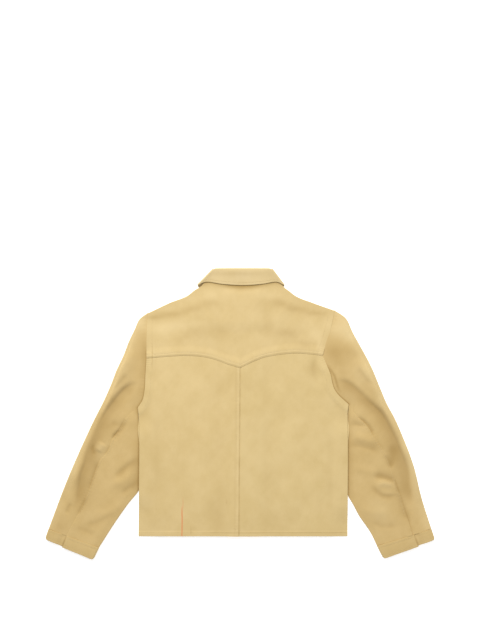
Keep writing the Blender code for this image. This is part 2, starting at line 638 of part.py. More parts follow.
def main():
    for old in list(bpy.data.objects):
        bpy.data.objects.remove(old)
    collection = bpy.data.collections.new("suede_jacket")
    bpy.context.scene.collection.children.link(collection)
    body_pieces(collection)
    collar(collection)
    for name, outer, inner, upper, lower, folds, side, inward in (
        (
            "sleeve_left", SLEEVE_OUTER_LEFT, SLEEVE_INNER_LEFT, UPPER_ARMHOLE_LEFT, LOWER_ARMHOLE_LEFT,
            FOLDS_LEFT, SIDE_LEFT, 1.0,
        ),
        (
            "sleeve_right", SLEEVE_OUTER_RIGHT, SLEEVE_INNER_RIGHT, UPPER_ARMHOLE_RIGHT, LOWER_ARMHOLE_RIGHT,
            FOLDS_RIGHT, SIDE_RIGHT, -1.0,
        ),
    ):
        upper = evenly(upper, UPPER_ARMHOLE_STEPS)
        lower = evenly(lower, LOWER_ARMHOLE_STEPS)
        sleeve(name, outer, inner, upper, lower, folds, side, inward, collection)
    cuff("cuff_left", CUFF_SEAM_LEFT, CUFF_END_LEFT, CUFF_LAP_LEFT, collection)
    cuff("cuff_right", CUFF_SEAM_RIGHT, CUFF_END_RIGHT, CUFF_LAP_RIGHT, collection)
    buttons(collection)


main()
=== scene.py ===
"""Suede jacket laid flat on a pale surface, its back up, as seen from straight above: pointed yoke lapped
over two back panels, turned-down collar, sleeves with a lapped seam and a slit above each cuff, and the
fronts with their buttons underneath. Metres, +Z up, +Y towards the collar."""

from collections import namedtuple

import bpy
import numpy as np
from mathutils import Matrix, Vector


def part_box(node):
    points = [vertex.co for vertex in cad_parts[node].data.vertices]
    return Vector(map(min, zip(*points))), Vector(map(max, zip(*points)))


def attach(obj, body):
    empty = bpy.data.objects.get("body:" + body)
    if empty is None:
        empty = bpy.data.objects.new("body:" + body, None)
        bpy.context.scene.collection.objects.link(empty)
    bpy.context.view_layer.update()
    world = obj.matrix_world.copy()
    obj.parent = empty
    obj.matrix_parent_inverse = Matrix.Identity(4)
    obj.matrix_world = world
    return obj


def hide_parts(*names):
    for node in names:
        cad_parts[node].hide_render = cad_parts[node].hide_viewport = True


bl_info = {
    "name": "Suede Jacket",
    "version": (1, 0, 0),
    "blender": (4, 5, 0),
    "location": "3D View > Sidebar > Jacket",
    "description": "Builds a suede shirt jacket laid flat, with its seams, stitching and soft folds",
    "category": "Add Mesh",
}

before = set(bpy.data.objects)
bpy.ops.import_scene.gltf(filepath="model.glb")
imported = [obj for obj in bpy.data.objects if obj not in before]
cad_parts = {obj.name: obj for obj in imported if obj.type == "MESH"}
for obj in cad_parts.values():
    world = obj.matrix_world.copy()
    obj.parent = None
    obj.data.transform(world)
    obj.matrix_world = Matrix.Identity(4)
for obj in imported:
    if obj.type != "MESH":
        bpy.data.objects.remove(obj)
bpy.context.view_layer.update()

# ---------------------------------------------------------------- sizes of the cut and of how its layers lie
WALL = 0.0015
SEAM_GAP = 0.0003
HALF = WALL / 2
FLOOR_LAYER = HALF
SECOND_LAYER = WALL + SEAM_GAP + HALF
TUCK_RISE = 0.0044
TUCK_FADE = (0.016, 0.052)
TUCK_START = 0.060
TUCK_END = 0.056
COLLAR_RISE = WALL + SEAM_GAP
COLLAR_FADE = (0.036, 0.070)
COLLAR_LINE = ((0.020, 0.284), (0.060, 0.286), (0.088, 0.315), (0.101, 0.345))
PLACKET_RISE = 0.0029
PLACKET_LEFT_FADE = (-0.062, -0.024)
PLACKET_RIGHT_FADE = (0.026, 0.068)
CROWN = 0.0026
CROWN_REACH = 0.06
BACK_OVER_PLACKET = 0.0024
BACK_FADE_ACROSS = (0.028, 0.068)
BACK_FADE_UP = (0.318, 0.346)
CENTRE = 0.007
CENTRE_DRIFT = 0.0030
CENTRE_DRIFT_OVER = 0.45
HEM = -0.3258
ARMPIT_LEFT = (-0.2725, 0.0165)
ARMPIT_RIGHT = (0.2895, 0.0255)
SHOULDER_LEFT = (-0.2455, 0.2685)
SHOULDER_RIGHT = (0.2515, 0.2755)
NECK_HALF = 0.101
NECK_SIDE = 0.3525
NECK_BACK = 0.3500
NECK_FRONT = 0.2770
OVERLAP = 0.0125
FRONT_OUT = 0.0040
FRONT_OUT_FROM = (-0.085, -0.045)
FRONT_OUT_TO = (0.010, 0.022)
FRONT_NECK_STEPS = 9

# Seams, as the points that their curves pass through
YOKE_POINT = (0.0, 0.1235)
YOKE_LEFT = (
    (-0.2475, 0.1490), (-0.1810, 0.1545), (-0.1360, 0.1560), (-0.0990, 0.1530), (-0.0690, 0.1465),
    (-0.0320, 0.1330), YOKE_POINT,
)
YOKE_RIGHT = (
    YOKE_POINT, (0.0320, 0.1390), (0.0620, 0.1510), (0.0990, 0.1580), (0.1480, 0.1625),
    (0.1930, 0.1595), (0.2190, 0.1560),
)
UPPER_ARMHOLE_LEFT = ((-0.2475, 0.1490), (-0.2480, 0.2000), SHOULDER_LEFT)
LOWER_ARMHOLE_LEFT = ((-0.2475, 0.1490), (-0.2505, 0.1040), (-0.2530, 0.0640), (-0.2590, 0.0370), ARMPIT_LEFT)
UPPER_ARMHOLE_RIGHT = ((0.2190, 0.1560), (0.2230, 0.1710), (0.2310, 0.1950), (0.2450, 0.2450), SHOULDER_RIGHT)
LOWER_ARMHOLE_RIGHT = (
    (0.2190, 0.1560), (0.2285, 0.1330), (0.2410, 0.1010), (0.2450, 0.0810), (0.2505, 0.0655),
    (0.2605, 0.0515), (0.2745, 0.0385), ARMPIT_RIGHT,
)
SIDE_LEFT = (ARMPIT_LEFT, (-0.2690, -0.0160), (-0.2680, -0.0960), (-0.2690, -0.2030), (-0.2703, HEM))
SIDE_RIGHT = (
    ARMPIT_RIGHT, (0.2868, 0.0020), (0.2864, -0.0160), (0.2872, -0.0800), (0.2866, -0.2290), (0.2862, HEM),
)
SHOULDER_SEAM_LEFT = (
    SHOULDER_LEFT, (-0.1870, 0.2962), (-0.1360, 0.3176), (-0.1220, 0.3290), (-0.1040, 0.3400),
    (CENTRE - NECK_HALF, NECK_SIDE),
)
SHOULDER_SEAM_RIGHT = (
    (CENTRE + NECK_HALF, NECK_SIDE), (0.1160, 0.3390), (0.1310, 0.3275), (0.1450, 0.3165), (0.1940, 0.2960),
    SHOULDER_RIGHT,
)
FRONT_NECK = ((0.0, NECK_FRONT), (0.057, 0.2880), (0.088, 0.3150), (NECK_HALF, NECK_SIDE))

# Collar, its x from the middle line: where the fall is sewn to the stand, then the fall's edge in plan and
# how far it stands clear of the yoke
FOLD_BACK = 0.3903
STAND_TOP = FOLD_BACK - 0.0060
ROLL = 0.0022
ROLL_START = 0.0012
COLLAR_TURN = 4
STAND_FROM_NECK = 1.5 * SEAM_GAP
FALL_FROM_STAND = 0.0009
TIP_LEAN = 0.0045
TIP_NARROW = 0.0015
FALL_BACK = (
    (0.0000, STAND_TOP, 0.0052, 0.0000, 0.3440, 0.0010),
    (0.0400, STAND_TOP, 0.0052, 0.0520, 0.3472, 0.0010),
    (0.0690, STAND_TOP - 0.0004, 0.0052, 0.0930, 0.3530, 0.0012),
    (0.0790, STAND_TOP - 0.0014, 0.0050, 0.1145, 0.3450, 0.0020),
)
FOLD_FRONT = (
    (0.0785, 0.3775), (0.0690, 0.3520), (0.0560, 0.3340), (0.0400, 0.3200), (0.0170, 0.3100),
    (-OVERLAP, 0.3085),
)
LEAF_SIDE = ((0.1150, 0.3400), (0.1040, 0.3050), (0.0660, 0.2560))
LEAF_END = ((0.0660, 0.2560), (0.0200, 0.2860))

# Sleeves: the plan edges of each flattened tube, its lapped seam, and the band of the cuff
SLEEVE_OUTER_LEFT = (
    SHOULDER_LEFT, (-0.2680, 0.2520), (-0.2830, 0.2230), (-0.2985, 0.1910), (-0.3110, 0.1570),
    (-0.3300, 0.1160), (-0.3465, 0.0730), (-0.3655, 0.0310), (-0.3875, -0.0120), (-0.4080, -0.0550),
    (-0.4640, -0.1830), (-0.5110, -0.3070),
)
SLEEVE_INNER_LEFT = (
    ARMPIT_LEFT, (-0.2730, -0.0300), (-0.2725, -0.0600), (-0.2620, -0.1000), (-0.2620, -0.1600),
    (-0.2722, -0.2030), (-0.2988, -0.2360), (-0.3420, -0.2977), (-0.3790, -0.3555),
)
SLEEVE_OUTER_RIGHT = (
    SHOULDER_RIGHT, (0.2850, 0.2520), (0.2990, 0.2230), (0.3550, 0.1160), (0.3725, 0.0730),
    (0.3900, 0.0310), (0.4130, -0.0120), (0.4320, -0.0550), (0.4640, -0.1400), (0.4850, -0.2250),
    (0.5110, -0.3070),
)
SLEEVE_INNER_RIGHT = (
    ARMPIT_RIGHT, (0.2915, -0.0200), (0.2920, -0.0600), (0.2815, -0.1050), (0.2810, -0.1800),
    (0.2915, -0.2200), (0.3045, -0.2410), (0.3180, -0.2663), (0.3530, -0.3192), (0.3686, -0.3512),
)
SLEEVE_SEAM_LEFT = (
    (-0.2725, 0.0165), (-0.2990, -0.0050), (-0.3210, -0.0400), (-0.3390, -0.0650), (-0.3520, -0.0980),
    (-0.3740, -0.1250), (-0.3920, -0.1700), (-0.4050, -0.2080), (-0.4320, -0.2670), (-0.4530, -0.3070),
    (-0.4650, -0.3300),
)
SLEEVE_SEAM_RIGHT = (
    (0.2885, 0.0205), (0.3110, -0.0050), (0.3300, -0.0220), (0.3470, -0.0430), (0.3640, -0.0720),
    (0.3870, -0.1040), (0.4030, -0.1390), (0.4160, -0.1850), (0.4290, -0.2210), (0.4420, -0.2640),
    (0.4540, -0.3010), (0.4610, -0.3260),
)
SLEEVE_LOFT = 0.0084
EDGE_LOFT = 0.55
EDGE_ROLL = 0.0033
SHOULDER_FADE = 0.15
ARMHOLE_FADE = 0.048
ARMPIT_EASE = 0.0012
ARMPIT_SHARE = 0.38
EDGE_SHARE = 0.12
SLEEVE_UNEVEN = 1.4
SOFT_FLOOR = 0.0015
SLEEVE_LENGTH = 0.6
TUCK_HEIGHT = 0.0040
UNDER_SIDE = (0.001, 0.034)
UNDER_TOP = (-0.01, 0.04)
UNDER_END = (0.215, 0.250)
CUFF_WALL = 0.0024
CUFF_HEIGHT = 0.0090
CUFF_SEAM_LEFT = ((-0.5071, -0.3089), (-0.3800, -0.3555))
CUFF_END_LEFT = ((-0.5159, -0.3345), (-0.3955, -0.3872))
CUFF_SEAM_RIGHT = ((0.5068, -0.3088), (0.3700, -0.3512))
CUFF_END_RIGHT = ((0.5159, -0.3356), (0.3868, -0.3845))
CUFF_LAP_LEFT = 0.36
CUFF_LAP_RIGHT = 0.32
CUFF_FLAT = 0.04
CUFF_CREST = 0.0004
CUFF_OVERLAP = 0.10

# ---------------------------------------------------------------- what only the dressed piece has
# Lapped edges, stitch rows, buttons and bands
LAP = 0.0016
LAP_WIDTH = 0.0090
LAP_FADE = 0.020
STITCH_FROM_EDGE = 0.0085
BUTTON_RADIUS = 0.0085
BUTTON_THICKNESS = 0.0025
BUTTON_DISH = 0.67
BUTTON_THREAD = 0.0018
BUTTONHOLE = 0.0105
BUTTONHOLE_EDGE = 0.0012
GROOVE = 0.00018
GROOVE_WIDTH = 0.0016
HEM_BAND = 0.0095
ARMHOLE_BAND = 0.0130
ARMHOLE_RISE = 0.0015
ARMHOLE_OVER = 0.0014
COLLAR_STITCH = 0.0065
COLLAR_STITCH_COLUMNS = slice(42, 259)
COLLAR_MIDDLE_COLUMN = 150
CUFF_STITCH = 0.0055
CUFF_END_ROWS = slice(4, 19)
CUFF_END_COLUMN = -4
SLIT_TOP = 0.045
SLIT_RISE = 0.0012
SLEEVE_LAP = 0.0009
PARED = 0.34
PALER_LINE_AT = 0.0078
PARED_WIDTH = 0.0045
SHADE_SPREAD = 1.35
DEEPEST = 0.0066
CUFF_CORNER = 0.0060
CUFF_STAGGER = 0.0013

# How the hem, the armholes, the seams' puckers and the pared edges lie
HEM_QUIET = 0.6
HEM_THICK = 0.0009
HEM_BAND_FADE = 0.006
BAND_START = 0.001
ARMHOLE_BAND_FADE = 0.010
ARMHOLE_DENT = 0.6
ARMHOLE_LENGTH = 0.25
PROUD_FADE = (0.02, 0.26)
YOKE_SINKS = 0.0002
CENTRE_STEP = 0.004
OVER_CENTRE_FADE = (0.006, 0.040)
PARED_BACK = 0.70
PUCKER = 0.010
WIDE_PUCKER = 0.012
PUCKER_IN = 0.004
PUCKER_RISE = 0.00016
PUCKER_RATE = 698.0

# A stitch: its thickness at shares of its length, its height in the middle and how deep its ends sink, all
# in threads. Then the half-round edge of a piece, and a button's profile as shares of radius and thickness
STITCH_TAPER = ((0.0, 0.35), (0.12, 0.85), (0.5, 1.0), (0.88, 0.85), (1.0, 0.35))
STITCH_CREST = 0.9
STITCH_SUNK = 0.35
EDGE_OUT = 0.75
EDGE_ANGLES = (50.0, 0.0, -50.0)
BUTTON_PROFILE = (
    (0.02, 0.0), (0.60, 0.0), (0.90, 0.02), (0.99, 0.22), (1.0, 0.50), (0.98, 0.78), (0.92, 0.95),
    (0.84, 1.0), (0.74, 0.93), (0.66, 0.74), (0.50, 0.68), (0.25, BUTTON_DISH), (0.02, BUTTON_DISH),
)

# How far the turned-in seam allowance of each armhole stands proud, at the yoke's seam and beyond
ARMHOLES = (
    (UPPER_ARMHOLE_LEFT, 0.35, 0.35), (LOWER_ARMHOLE_LEFT, 1.0, 1.0),
    (UPPER_ARMHOLE_RIGHT, 0.25, 0.25), (LOWER_ARMHOLE_RIGHT, 0.25, 1.3),
)

# Waves of a hide that lies flat: radians a metre across and up, start and rise
WAVES = (
    (31.0, 17.0, 0.3, 0.00022), (-23.0, 44.0, 1.9, 0.00020), (57.0, -38.0, 4.1, 0.00013),
    (88.0, 61.0, 2.2, 0.00009), (-131.0, 92.0, 5.3, 0.00006), (176.0, 203.0, 0.9, 0.00004),
    (291.0, -244.0, 3.4, 0.00003),
)

# Straight lines to each part of a fold's curve, and the length over which a fold fades at its ends
FOLD_STEPS = 4
FOLD_FADE = 0.055
FOLD_FADE_SHARE = 0.3

# Grid of a sleeve: its rows, the row at the armpit, and the columns of its parts, which crowd at the lapped
# seam, as distances from it
SLEEVE_ROWS = 270
ARMPIT_ROW = 100
SEAM_TO_EDGE = 0.012
SEAM_COLUMNS = (
    0.0100, 0.0070, 0.0045, 0.0027, 0.0015, 0.0006, 0.0, -0.0005, -0.0012, -0.0025, -0.0048, -0.0090,
)
INNER_COLUMNS = 26
OUTER_COLUMNS = 60
UNDER_COLUMNS = 6
STITCH_COLUMN = UNDER_COLUMNS + INNER_COLUMNS + 2
LAP_STEP = (-0.0008, 0.0010)
LAP_OUT = (0.006, 0.024)
LAP_DIP = 0.0005
LAP_DIP_WIDTH = 0.0030
LAP_DIP_END = 0.0006
LAP_ROWS = 14
LAYER_STEP = 0.00005
LEAST_BULGE = 0.0008
SLEEVE_STITCH_ROWS = slice(ARMPIT_ROW + LAP_ROWS, 248)
SLEEVE_STITCH = 0.0050
ROW_LENGTH = 0.0024

# How strongly the lapped seam of each sleeve shows, as (share of the way from armpit to cuff, strength)
SEAM_SHOWS_LEFT = (
    (0.0, 0.30), (0.10, 0.40), (0.18, 0.90), (0.30, 0.60), (0.40, 0.30), (0.50, 1.00), (0.74, 1.00),
    (0.82, 0.45), (1.0, 0.40),
)
SEAM_SHOWS_RIGHT = (
    (0.0, 0.20), (0.10, 0.80), (0.35, 1.00), (0.45, 0.45), (0.60, 0.55), (0.70, 1.00), (1.0, 0.95),
)

# Folds of the sleeves: a curve through plan points, its half width, how far it rises or sinks, and how much
# wider it is on its left than on its right as it runs
FOLDS_LEFT = (
    (((-0.286, 0.186), (-0.348, 0.040), (-0.450, -0.205)), 0.0240, 0.0066, 0.0),
    (
        ((-0.260, 0.078), (-0.290, 0.0745), (-0.3065, 0.064), (-0.328, 0.0425), (-0.344, 0.0215),
         (-0.362, -0.0055), (-0.378, -0.0375), (-0.390, -0.068), (-0.404, -0.100), (-0.413, -0.135),
         (-0.4225, -0.165), (-0.427, -0.208), (-0.431, -0.240), (-0.438, -0.268)),
        0.0145, -0.0060, 0.40,
    ),
    (((-0.300, -0.010), (-0.325, -0.050), (-0.345, -0.070)), 0.0070, -0.0030, 0.3),
    (((-0.362, -0.076), (-0.371, -0.089), (-0.380, -0.102)), 0.0105, 0.0034, 0.0),
    (((-0.374, -0.120), (-0.384, -0.150), (-0.405, -0.210)), 0.0060, -0.0022, -0.3),
    (((-0.252, -0.108), (-0.292, -0.134), (-0.340, -0.172)), 0.0090, -0.0026, 0.2),
    (((-0.276, -0.150), (-0.310, -0.178), (-0.350, -0.190)), 0.0130, 0.0026, 0.0),
    (((-0.250, -0.170), (-0.286, -0.190), (-0.322, -0.218)), 0.0080, -0.0024, 0.2),
    (((-0.340, -0.066), (-0.330, -0.052), (-0.316, -0.042)), 0.0036, -0.0016, 0.4),
    (((-0.348, -0.080), (-0.352, -0.096), (-0.362, -0.112)), 0.0050, -0.0010, 0.0),
    (((-0.390, -0.078), (-0.392, -0.094), (-0.386, -0.112)), 0.0055, -0.0010, 0.0),
    (((-0.404, -0.219), (-0.426, -0.259), (-0.437, -0.276)), 0.0050, -0.0020, -0.3),
    (((-0.448, -0.236), (-0.457, -0.250), (-0.463, -0.268)), 0.0060, -0.0016, 0.2),
    (((-0.346, -0.022), (-0.326, -0.028), (-0.306, -0.026)), 0.0100, -0.0012, 0.0),
    (((-0.300, 0.110), (-0.316, 0.088), (-0.338, 0.060)), 0.0075, -0.0013, 0.3),
    (((-0.366, 0.000), (-0.392, -0.066), (-0.412, -0.120)), 0.0080, 0.0014, 0.0),
    (((-0.300, -0.236), (-0.350, -0.262), (-0.400, -0.270)), 0.0130, 0.0012, 0.0),
    (((-0.330, -0.262), (-0.372, -0.286), (-0.424, -0.300)), 0.0100, -0.0011, 0.3),
    (((-0.386, -0.330), (-0.410, -0.312), (-0.440, -0.306)), 0.0080, -0.0009, 0.0),
    (((-0.450, -0.150), (-0.468, -0.206), (-0.484, -0.250)), 0.0110, -0.0011, 0.2),
    (((-0.262, 0.130), (-0.264, 0.084), (-0.272, 0.044)), 0.0070, -0.0010, 0.3),
)
FOLDS_RIGHT = (
    (((0.312, 0.160), (0.380, 0.040), (0.468, -0.150)), 0.0240, 0.0070, 0.0),
    (
        ((0.242, 0.087), (0.284, 0.080), (0.300, 0.069), (0.334, 0.038), (0.352, 0.022), (0.3715, 0.005),
         (0.392, -0.0265), (0.4015, -0.0430), (0.412, -0.064), (0.428, -0.1065), (0.4365, -0.128),
         (0.4420, -0.149),
         (0.445, -0.1705), (0.446, -0.192), (0.4500, -0.213), (0.4550, -0.256)),
        0.0140, -0.0066, -0.40,
    ),
    (((0.308, -0.006), (0.329, -0.019), (0.347, -0.039), (0.357, -0.062)), 0.0040, -0.0026, 0.3),
    (((0.288, -0.060), (0.330, -0.066), (0.372, -0.078)), 0.0140, 0.0030, 0.0),
    (((0.268, -0.076), (0.330, -0.088), (0.384, -0.102)), 0.0100, -0.0015, 0.3),
    (((0.404, -0.076), (0.407, -0.117), (0.400, -0.150)), 0.0105, -0.0024, 0.0),
    (((0.352, -0.164), (0.390, -0.172), (0.420, -0.186)), 0.0090, -0.0036, 0.3),
    (((0.362, -0.188), (0.390, -0.184), (0.410, -0.192)), 0.0090, 0.0028, 0.0),
    (((0.420, -0.206), (0.436, -0.250), (0.455, -0.302)), 0.0075, -0.0026, -0.2),
    (((0.286, -0.027), (0.312, -0.029), (0.342, -0.033)), 0.0070, -0.0018, 0.3),
    (((0.347, -0.188), (0.378, -0.216), (0.427, -0.219)), 0.0075, -0.0022, -0.3),
    (((0.382, -0.108), (0.398, -0.128), (0.404, -0.150)), 0.0060, -0.0016, 0.0),
    (((0.312, 0.128), (0.330, 0.100), (0.352, 0.074)), 0.0075, -0.0013, -0.3),
    (((0.300, 0.060), (0.340, 0.034), (0.372, 0.000)), 0.0080, 0.0014, 0.0),
    (((0.300, -0.140), (0.334, -0.150), (0.372, -0.160)), 0.0110, 0.0014, 0.0),
    (((0.316, -0.250), (0.360, -0.262), (0.410, -0.262)), 0.0120, 0.0013, 0.0),
    (((0.336, -0.284), (0.380, -0.300), (0.430, -0.296)), 0.0100, -0.0012, 0.3),
    (((0.470, -0.150), (0.482, -0.206), (0.494, -0.262)), 0.0100, -0.0012, -0.2),
    (((0.231, 0.141), (0.239, 0.122), (0.2520, 0.101), (0.2585, 0.0795), (0.2630, 0.066), (0.272, 0.050)),
     0.0026, -0.0066, 0.0),
    (((0.242, 0.110), (0.2500, 0.088), (0.2570, 0.066)), 0.0030, 0.0008, 0.0),
    (((0.4140, -0.174), (0.4180, -0.194), (0.4280, -0.216)), 0.0036, -0.0024, 0.0),
)
# The same for the back and the yoke, where the leather lies almost flat
FOLDS_BACK = (
    (((-0.236, 0.110), (-0.226, 0.040), (-0.236, -0.040)), 0.0160, 0.0010, 0.0),
    (((0.206, 0.110), (0.226, 0.052), (0.250, 0.010)), 0.0150, 0.0012, 0.0),
    (((0.214, 0.176), (0.196, 0.120), (0.214, 0.060)), 0.0090, -0.0008, 0.2),
    (((-0.150, 0.286), (-0.110, 0.250), (-0.060, 0.200)), 0.0260, 0.0009, 0.0),
    (((0.150, 0.284), (0.106, 0.244), (0.060, 0.204)), 0.0260, 0.0008, 0.0),
    (((-0.206, 0.226), (-0.150, 0.214), (-0.090, 0.180)), 0.0220, -0.0006, 0.0),
    (((0.214, 0.226), (0.150, 0.210), (0.090, 0.184)), 0.0220, -0.0006, 0.0),
    (((-0.100, -0.010), (-0.112, -0.130), (-0.106, -0.290)), 0.0300, 0.0007, 0.0),
    (((0.122, 0.010), (0.134, -0.120), (0.140, -0.290)), 0.0320, 0.0008, 0.0),
    (((-0.200, -0.180), (-0.196, -0.240), (-0.190, -0.322)), 0.0170, -0.0006, 0.0),
    (((0.210, -0.190), (0.216, -0.250), (0.214, -0.322)), 0.0180, -0.0006, 0.0),
    (((0.050, -0.220), (0.048, -0.270), (0.052, -0.322)), 0.0150, -0.0005, 0.0),
)

# The two halves of the jacket. inward: 1 where +X points to the middle, -1 where away from it; parts: the
# place, as -Y, where the sleeve begins to leave the body; ditch and rim: the painted shade in the ditch
# beside the body and the painted highlight along the sleeve's outer edge, as sleeve_shades uses them
Half = namedtuple(
    "Half",
    "word inward parts upper lower side shoulder outer inner seam shows folds"
    " cuff_seam cuff_end cuff_lap ditch rim",
)
LEFT = Half(
    "left", 1.0, 0.210, UPPER_ARMHOLE_LEFT, LOWER_ARMHOLE_LEFT, SIDE_LEFT, SHOULDER_SEAM_LEFT,
    SLEEVE_OUTER_LEFT, SLEEVE_INNER_LEFT, SLEEVE_SEAM_LEFT, SEAM_SHOWS_LEFT, FOLDS_LEFT,
    CUFF_SEAM_LEFT, CUFF_END_LEFT, CUFF_LAP_LEFT, (0.34, 0.02, 0.95, 0.22, 0.60), (0.012, 0.36),
)
RIGHT = Half(
    "right", -1.0, 0.240, UPPER_ARMHOLE_RIGHT, LOWER_ARMHOLE_RIGHT, SIDE_RIGHT, SHOULDER_SEAM_RIGHT,
    SLEEVE_OUTER_RIGHT, SLEEVE_INNER_RIGHT, SLEEVE_SEAM_RIGHT, SEAM_SHOWS_RIGHT, FOLDS_RIGHT,
    CUFF_SEAM_RIGHT, CUFF_END_RIGHT, CUFF_LAP_RIGHT, (0.12, 0.04, 1.14, 0.55, 0.66), (0.018, 0.56),
)
HALVES = (LEFT, RIGHT)

# ---------------------------------------------------------------- looks
# Tones of the nap, as shares of the suede's colour: where the dye is deep and pale, where a place is paler
# (partly the hide's own tone, partly a painted highlight), the painted shade in folds, creases and hollows,
# at a cut edge (its own tone and painted shade), and a fibre's tip
DEEP_NAP = (0.950, 0.937, 0.897)
PALE_NAP = (1.040, 1.047, 1.080)
PALER_AND_LIT_NAP = (1.10, 1.12, 1.20)
PAINTED_SHADE_NAP = (0.60, 0.52, 0.37)
CUT_EDGE_AND_SHADE = (0.90, 0.87, 0.80)
FIBRE_TIP = 1.25
CLOSE_HOLLOW = 0.0012
WIDE_HOLLOW = 0.0030
FOLD_SHARE = 0.68
SHADE_SHARE = 0.66
SHADE_POWER = 0.7

# Natural marks of the left back panel: label, x, half width, lower and upper end, strength and colour, where
# it isn't the vein's
MARKS = (
    ("Vein", -0.1545, 0.0013, -0.330, -0.240, 0.90, None),
    ("Upper vein", -0.1520, 0.0013, -0.250, -0.216, 0.26, None),
    ("Scar", -0.1310, 0.0015, -0.318, -0.292, 0.22, (0.34, 0.20, 0.07)),
    ("Second scar", -0.0360, 0.0024, -0.236, -0.222, 0.35, (0.36, 0.22, 0.08)),
    ("Third scar", -0.2235, 0.0022, -0.253, -0.245, 0.35, (0.36, 0.22, 0.08)),
)

# Paler and darker places: partly the hide's own cloudy tone, partly painted highlights on ridges and rolls
# and painted shade beside folds, seams and under the collar. Centre, half sizes and strength; a negative
# strength takes painted shade away
PALER_AND_LIT_PATCHES = (
    (-0.204, 0.226, 0.034, 0.018, 0.95), (-0.164, 0.236, 0.034, 0.013, 0.66),
    (-0.105, 0.240, 0.030, 0.010, 0.42), (-0.205, 0.282, 0.040, 0.008, 0.40),
    (-0.262, 0.240, 0.020, 0.022, 0.62), (-0.140, 0.308, 0.030, 0.007, 0.34),
    (-0.2290, 0.157, 0.0018, 0.030, 0.50), (-0.075, 0.318, 0.022, 0.018, 0.70),
    (0.072, 0.316, 0.032, 0.012, 0.55), (0.100, 0.250, 0.040, 0.016, 0.20),
    (0.200, 0.214, 0.020, 0.018, 0.90), (0.213, 0.180, 0.008, 0.026, 0.80),
    (0.170, 0.238, 0.026, 0.014, 0.30), (0.228, 0.240, 0.014, 0.018, 0.30),
    (0.264, 0.228, 0.034, 0.024, 0.80), (0.292, 0.206, 0.018, 0.016, 0.45),
    (0.110, 0.115, 0.060, 0.034, 0.22), (-0.216, 0.112, 0.024, 0.040, 0.18),
    (-0.080, 0.190, 0.030, 0.012, 0.22), (0.040, 0.190, 0.024, 0.020, 0.18),
    (0.118, 0.040, 0.060, 0.050, 0.16), (0.226, 0.030, 0.030, 0.060, 0.20),
    (-0.130, 0.020, 0.090, 0.080, 0.10), (0.060, -0.160, 0.110, 0.080, 0.08),
    (-0.292, 0.196, 0.014, 0.044, 0.34), (-0.312, 0.128, 0.018, 0.040, 0.30),
    (0.338, 0.110, 0.026, 0.050, 0.08), (-0.372, -0.088, 0.014, 0.012, 0.45),
    (0.296, 0.050, 0.024, 0.020, 0.22), (0.322, 0.012, 0.026, 0.014, 0.18),
    (0.388, -0.188, 0.022, 0.008, 0.30), (0.441, -0.070, 0.010, 0.040, 0.40),
    (-0.440, -0.115, 0.010, 0.050, 0.34), (0.457, -0.120, 0.009, 0.040, 0.40),
    (-0.456, -0.185, 0.012, 0.050, 0.26), (0.372, 0.040, 0.012, 0.024, 0.20),
    (0.470, -0.170, 0.008, 0.050, 0.20), (-0.062, 0.362, 0.024, 0.012, 0.20),
    (0.020, 0.354, 0.060, 0.008, 0.26), (0.004, 0.387, 0.090, 0.006, 0.90),
    (0.375, -0.262, 0.030, 0.050, 0.34), (0.306, 0.176, 0.020, 0.020, 0.10),
    (0.326, 0.104, 0.026, 0.030, 0.44), (0.2835, 0.004, 0.0035, 0.022, 0.55),
    (-0.330, 0.090, 0.014, 0.030, 0.16),
)
DARKER_AND_SHADED_PATCHES = (
    (-0.232, 0.258, 0.020, 0.006, 0.40), (-0.184, 0.266, 0.032, 0.007, 0.24),
    (-0.122, 0.279, 0.030, 0.008, 0.20), (-0.074, 0.296, 0.024, 0.010, 0.22),
    (0.104, 0.296, 0.030, 0.011, 0.24), (0.150, 0.280, 0.026, 0.009, 0.26),
    (0.206, 0.269, 0.030, 0.006, 0.26), (0.076, 0.236, 0.016, 0.026, 0.22),
    (0.122, 0.216, 0.040, 0.012, 0.26), (0.176, 0.184, 0.022, 0.011, 0.26),
    (0.196, 0.124, 0.014, 0.022, 0.44), (-0.064, 0.220, 0.060, 0.024, 0.16),
    (-0.2336, 0.157, 0.0014, 0.030, 0.50), (0.250, 0.166, 0.026, 0.018, 0.50),
    (0.262, 0.142, 0.024, 0.016, 0.26), (0.290, 0.166, 0.018, 0.014, 0.22),
    (-0.256, 0.160, 0.008, 0.046, 0.36), (-0.272, 0.150, 0.016, 0.040, 0.16),
    (0.276, 0.108, 0.012, 0.014, 0.20), (-0.322, 0.052, 0.030, 0.022, -0.24),
    (-0.286, 0.078, 0.020, 0.014, -0.16), (-0.338, -0.030, 0.022, 0.012, 0.24),
    (-0.392, -0.100, 0.012, 0.050, 0.22), (0.372, -0.080, 0.024, 0.026, 0.16),
    (0.408, -0.110, 0.016, 0.050, 0.14), (0.312, -0.110, 0.040, 0.030, 0.12),
    (-0.410, -0.230, 0.050, 0.070, 0.04), (-0.482, -0.300, 0.022, 0.024, 0.34),
    (0.000, 0.290, 0.120, 0.016, 0.10), (0.430, -0.220, 0.050, 0.080, 0.06),
    (-0.280, -0.150, 0.014, 0.050, 0.16), (-0.014, 0.086, 0.040, 0.020, 0.10),
    (0.022, 0.072, 0.016, 0.012, 0.14), (0.026, -0.030, 0.016, 0.014, 0.12),
    (-0.036, 0.060, 0.008, 0.008, 0.14), (-0.230, -0.150, 0.036, 0.130, 0.08),
    (0.250, -0.160, 0.036, 0.150, 0.06), (-0.060, -0.260, 0.030, 0.040, 0.14),
    (0.000, -0.300, 0.260, 0.030, 0.08), (0.094, -0.270, 0.020, 0.026, 0.10),
    (-0.010, 0.374, 0.080, 0.006, 0.30), (0.245, -0.190, 0.020, 0.016, 0.14),
    (-0.225, -0.290, 0.030, 0.030, 0.12),
)
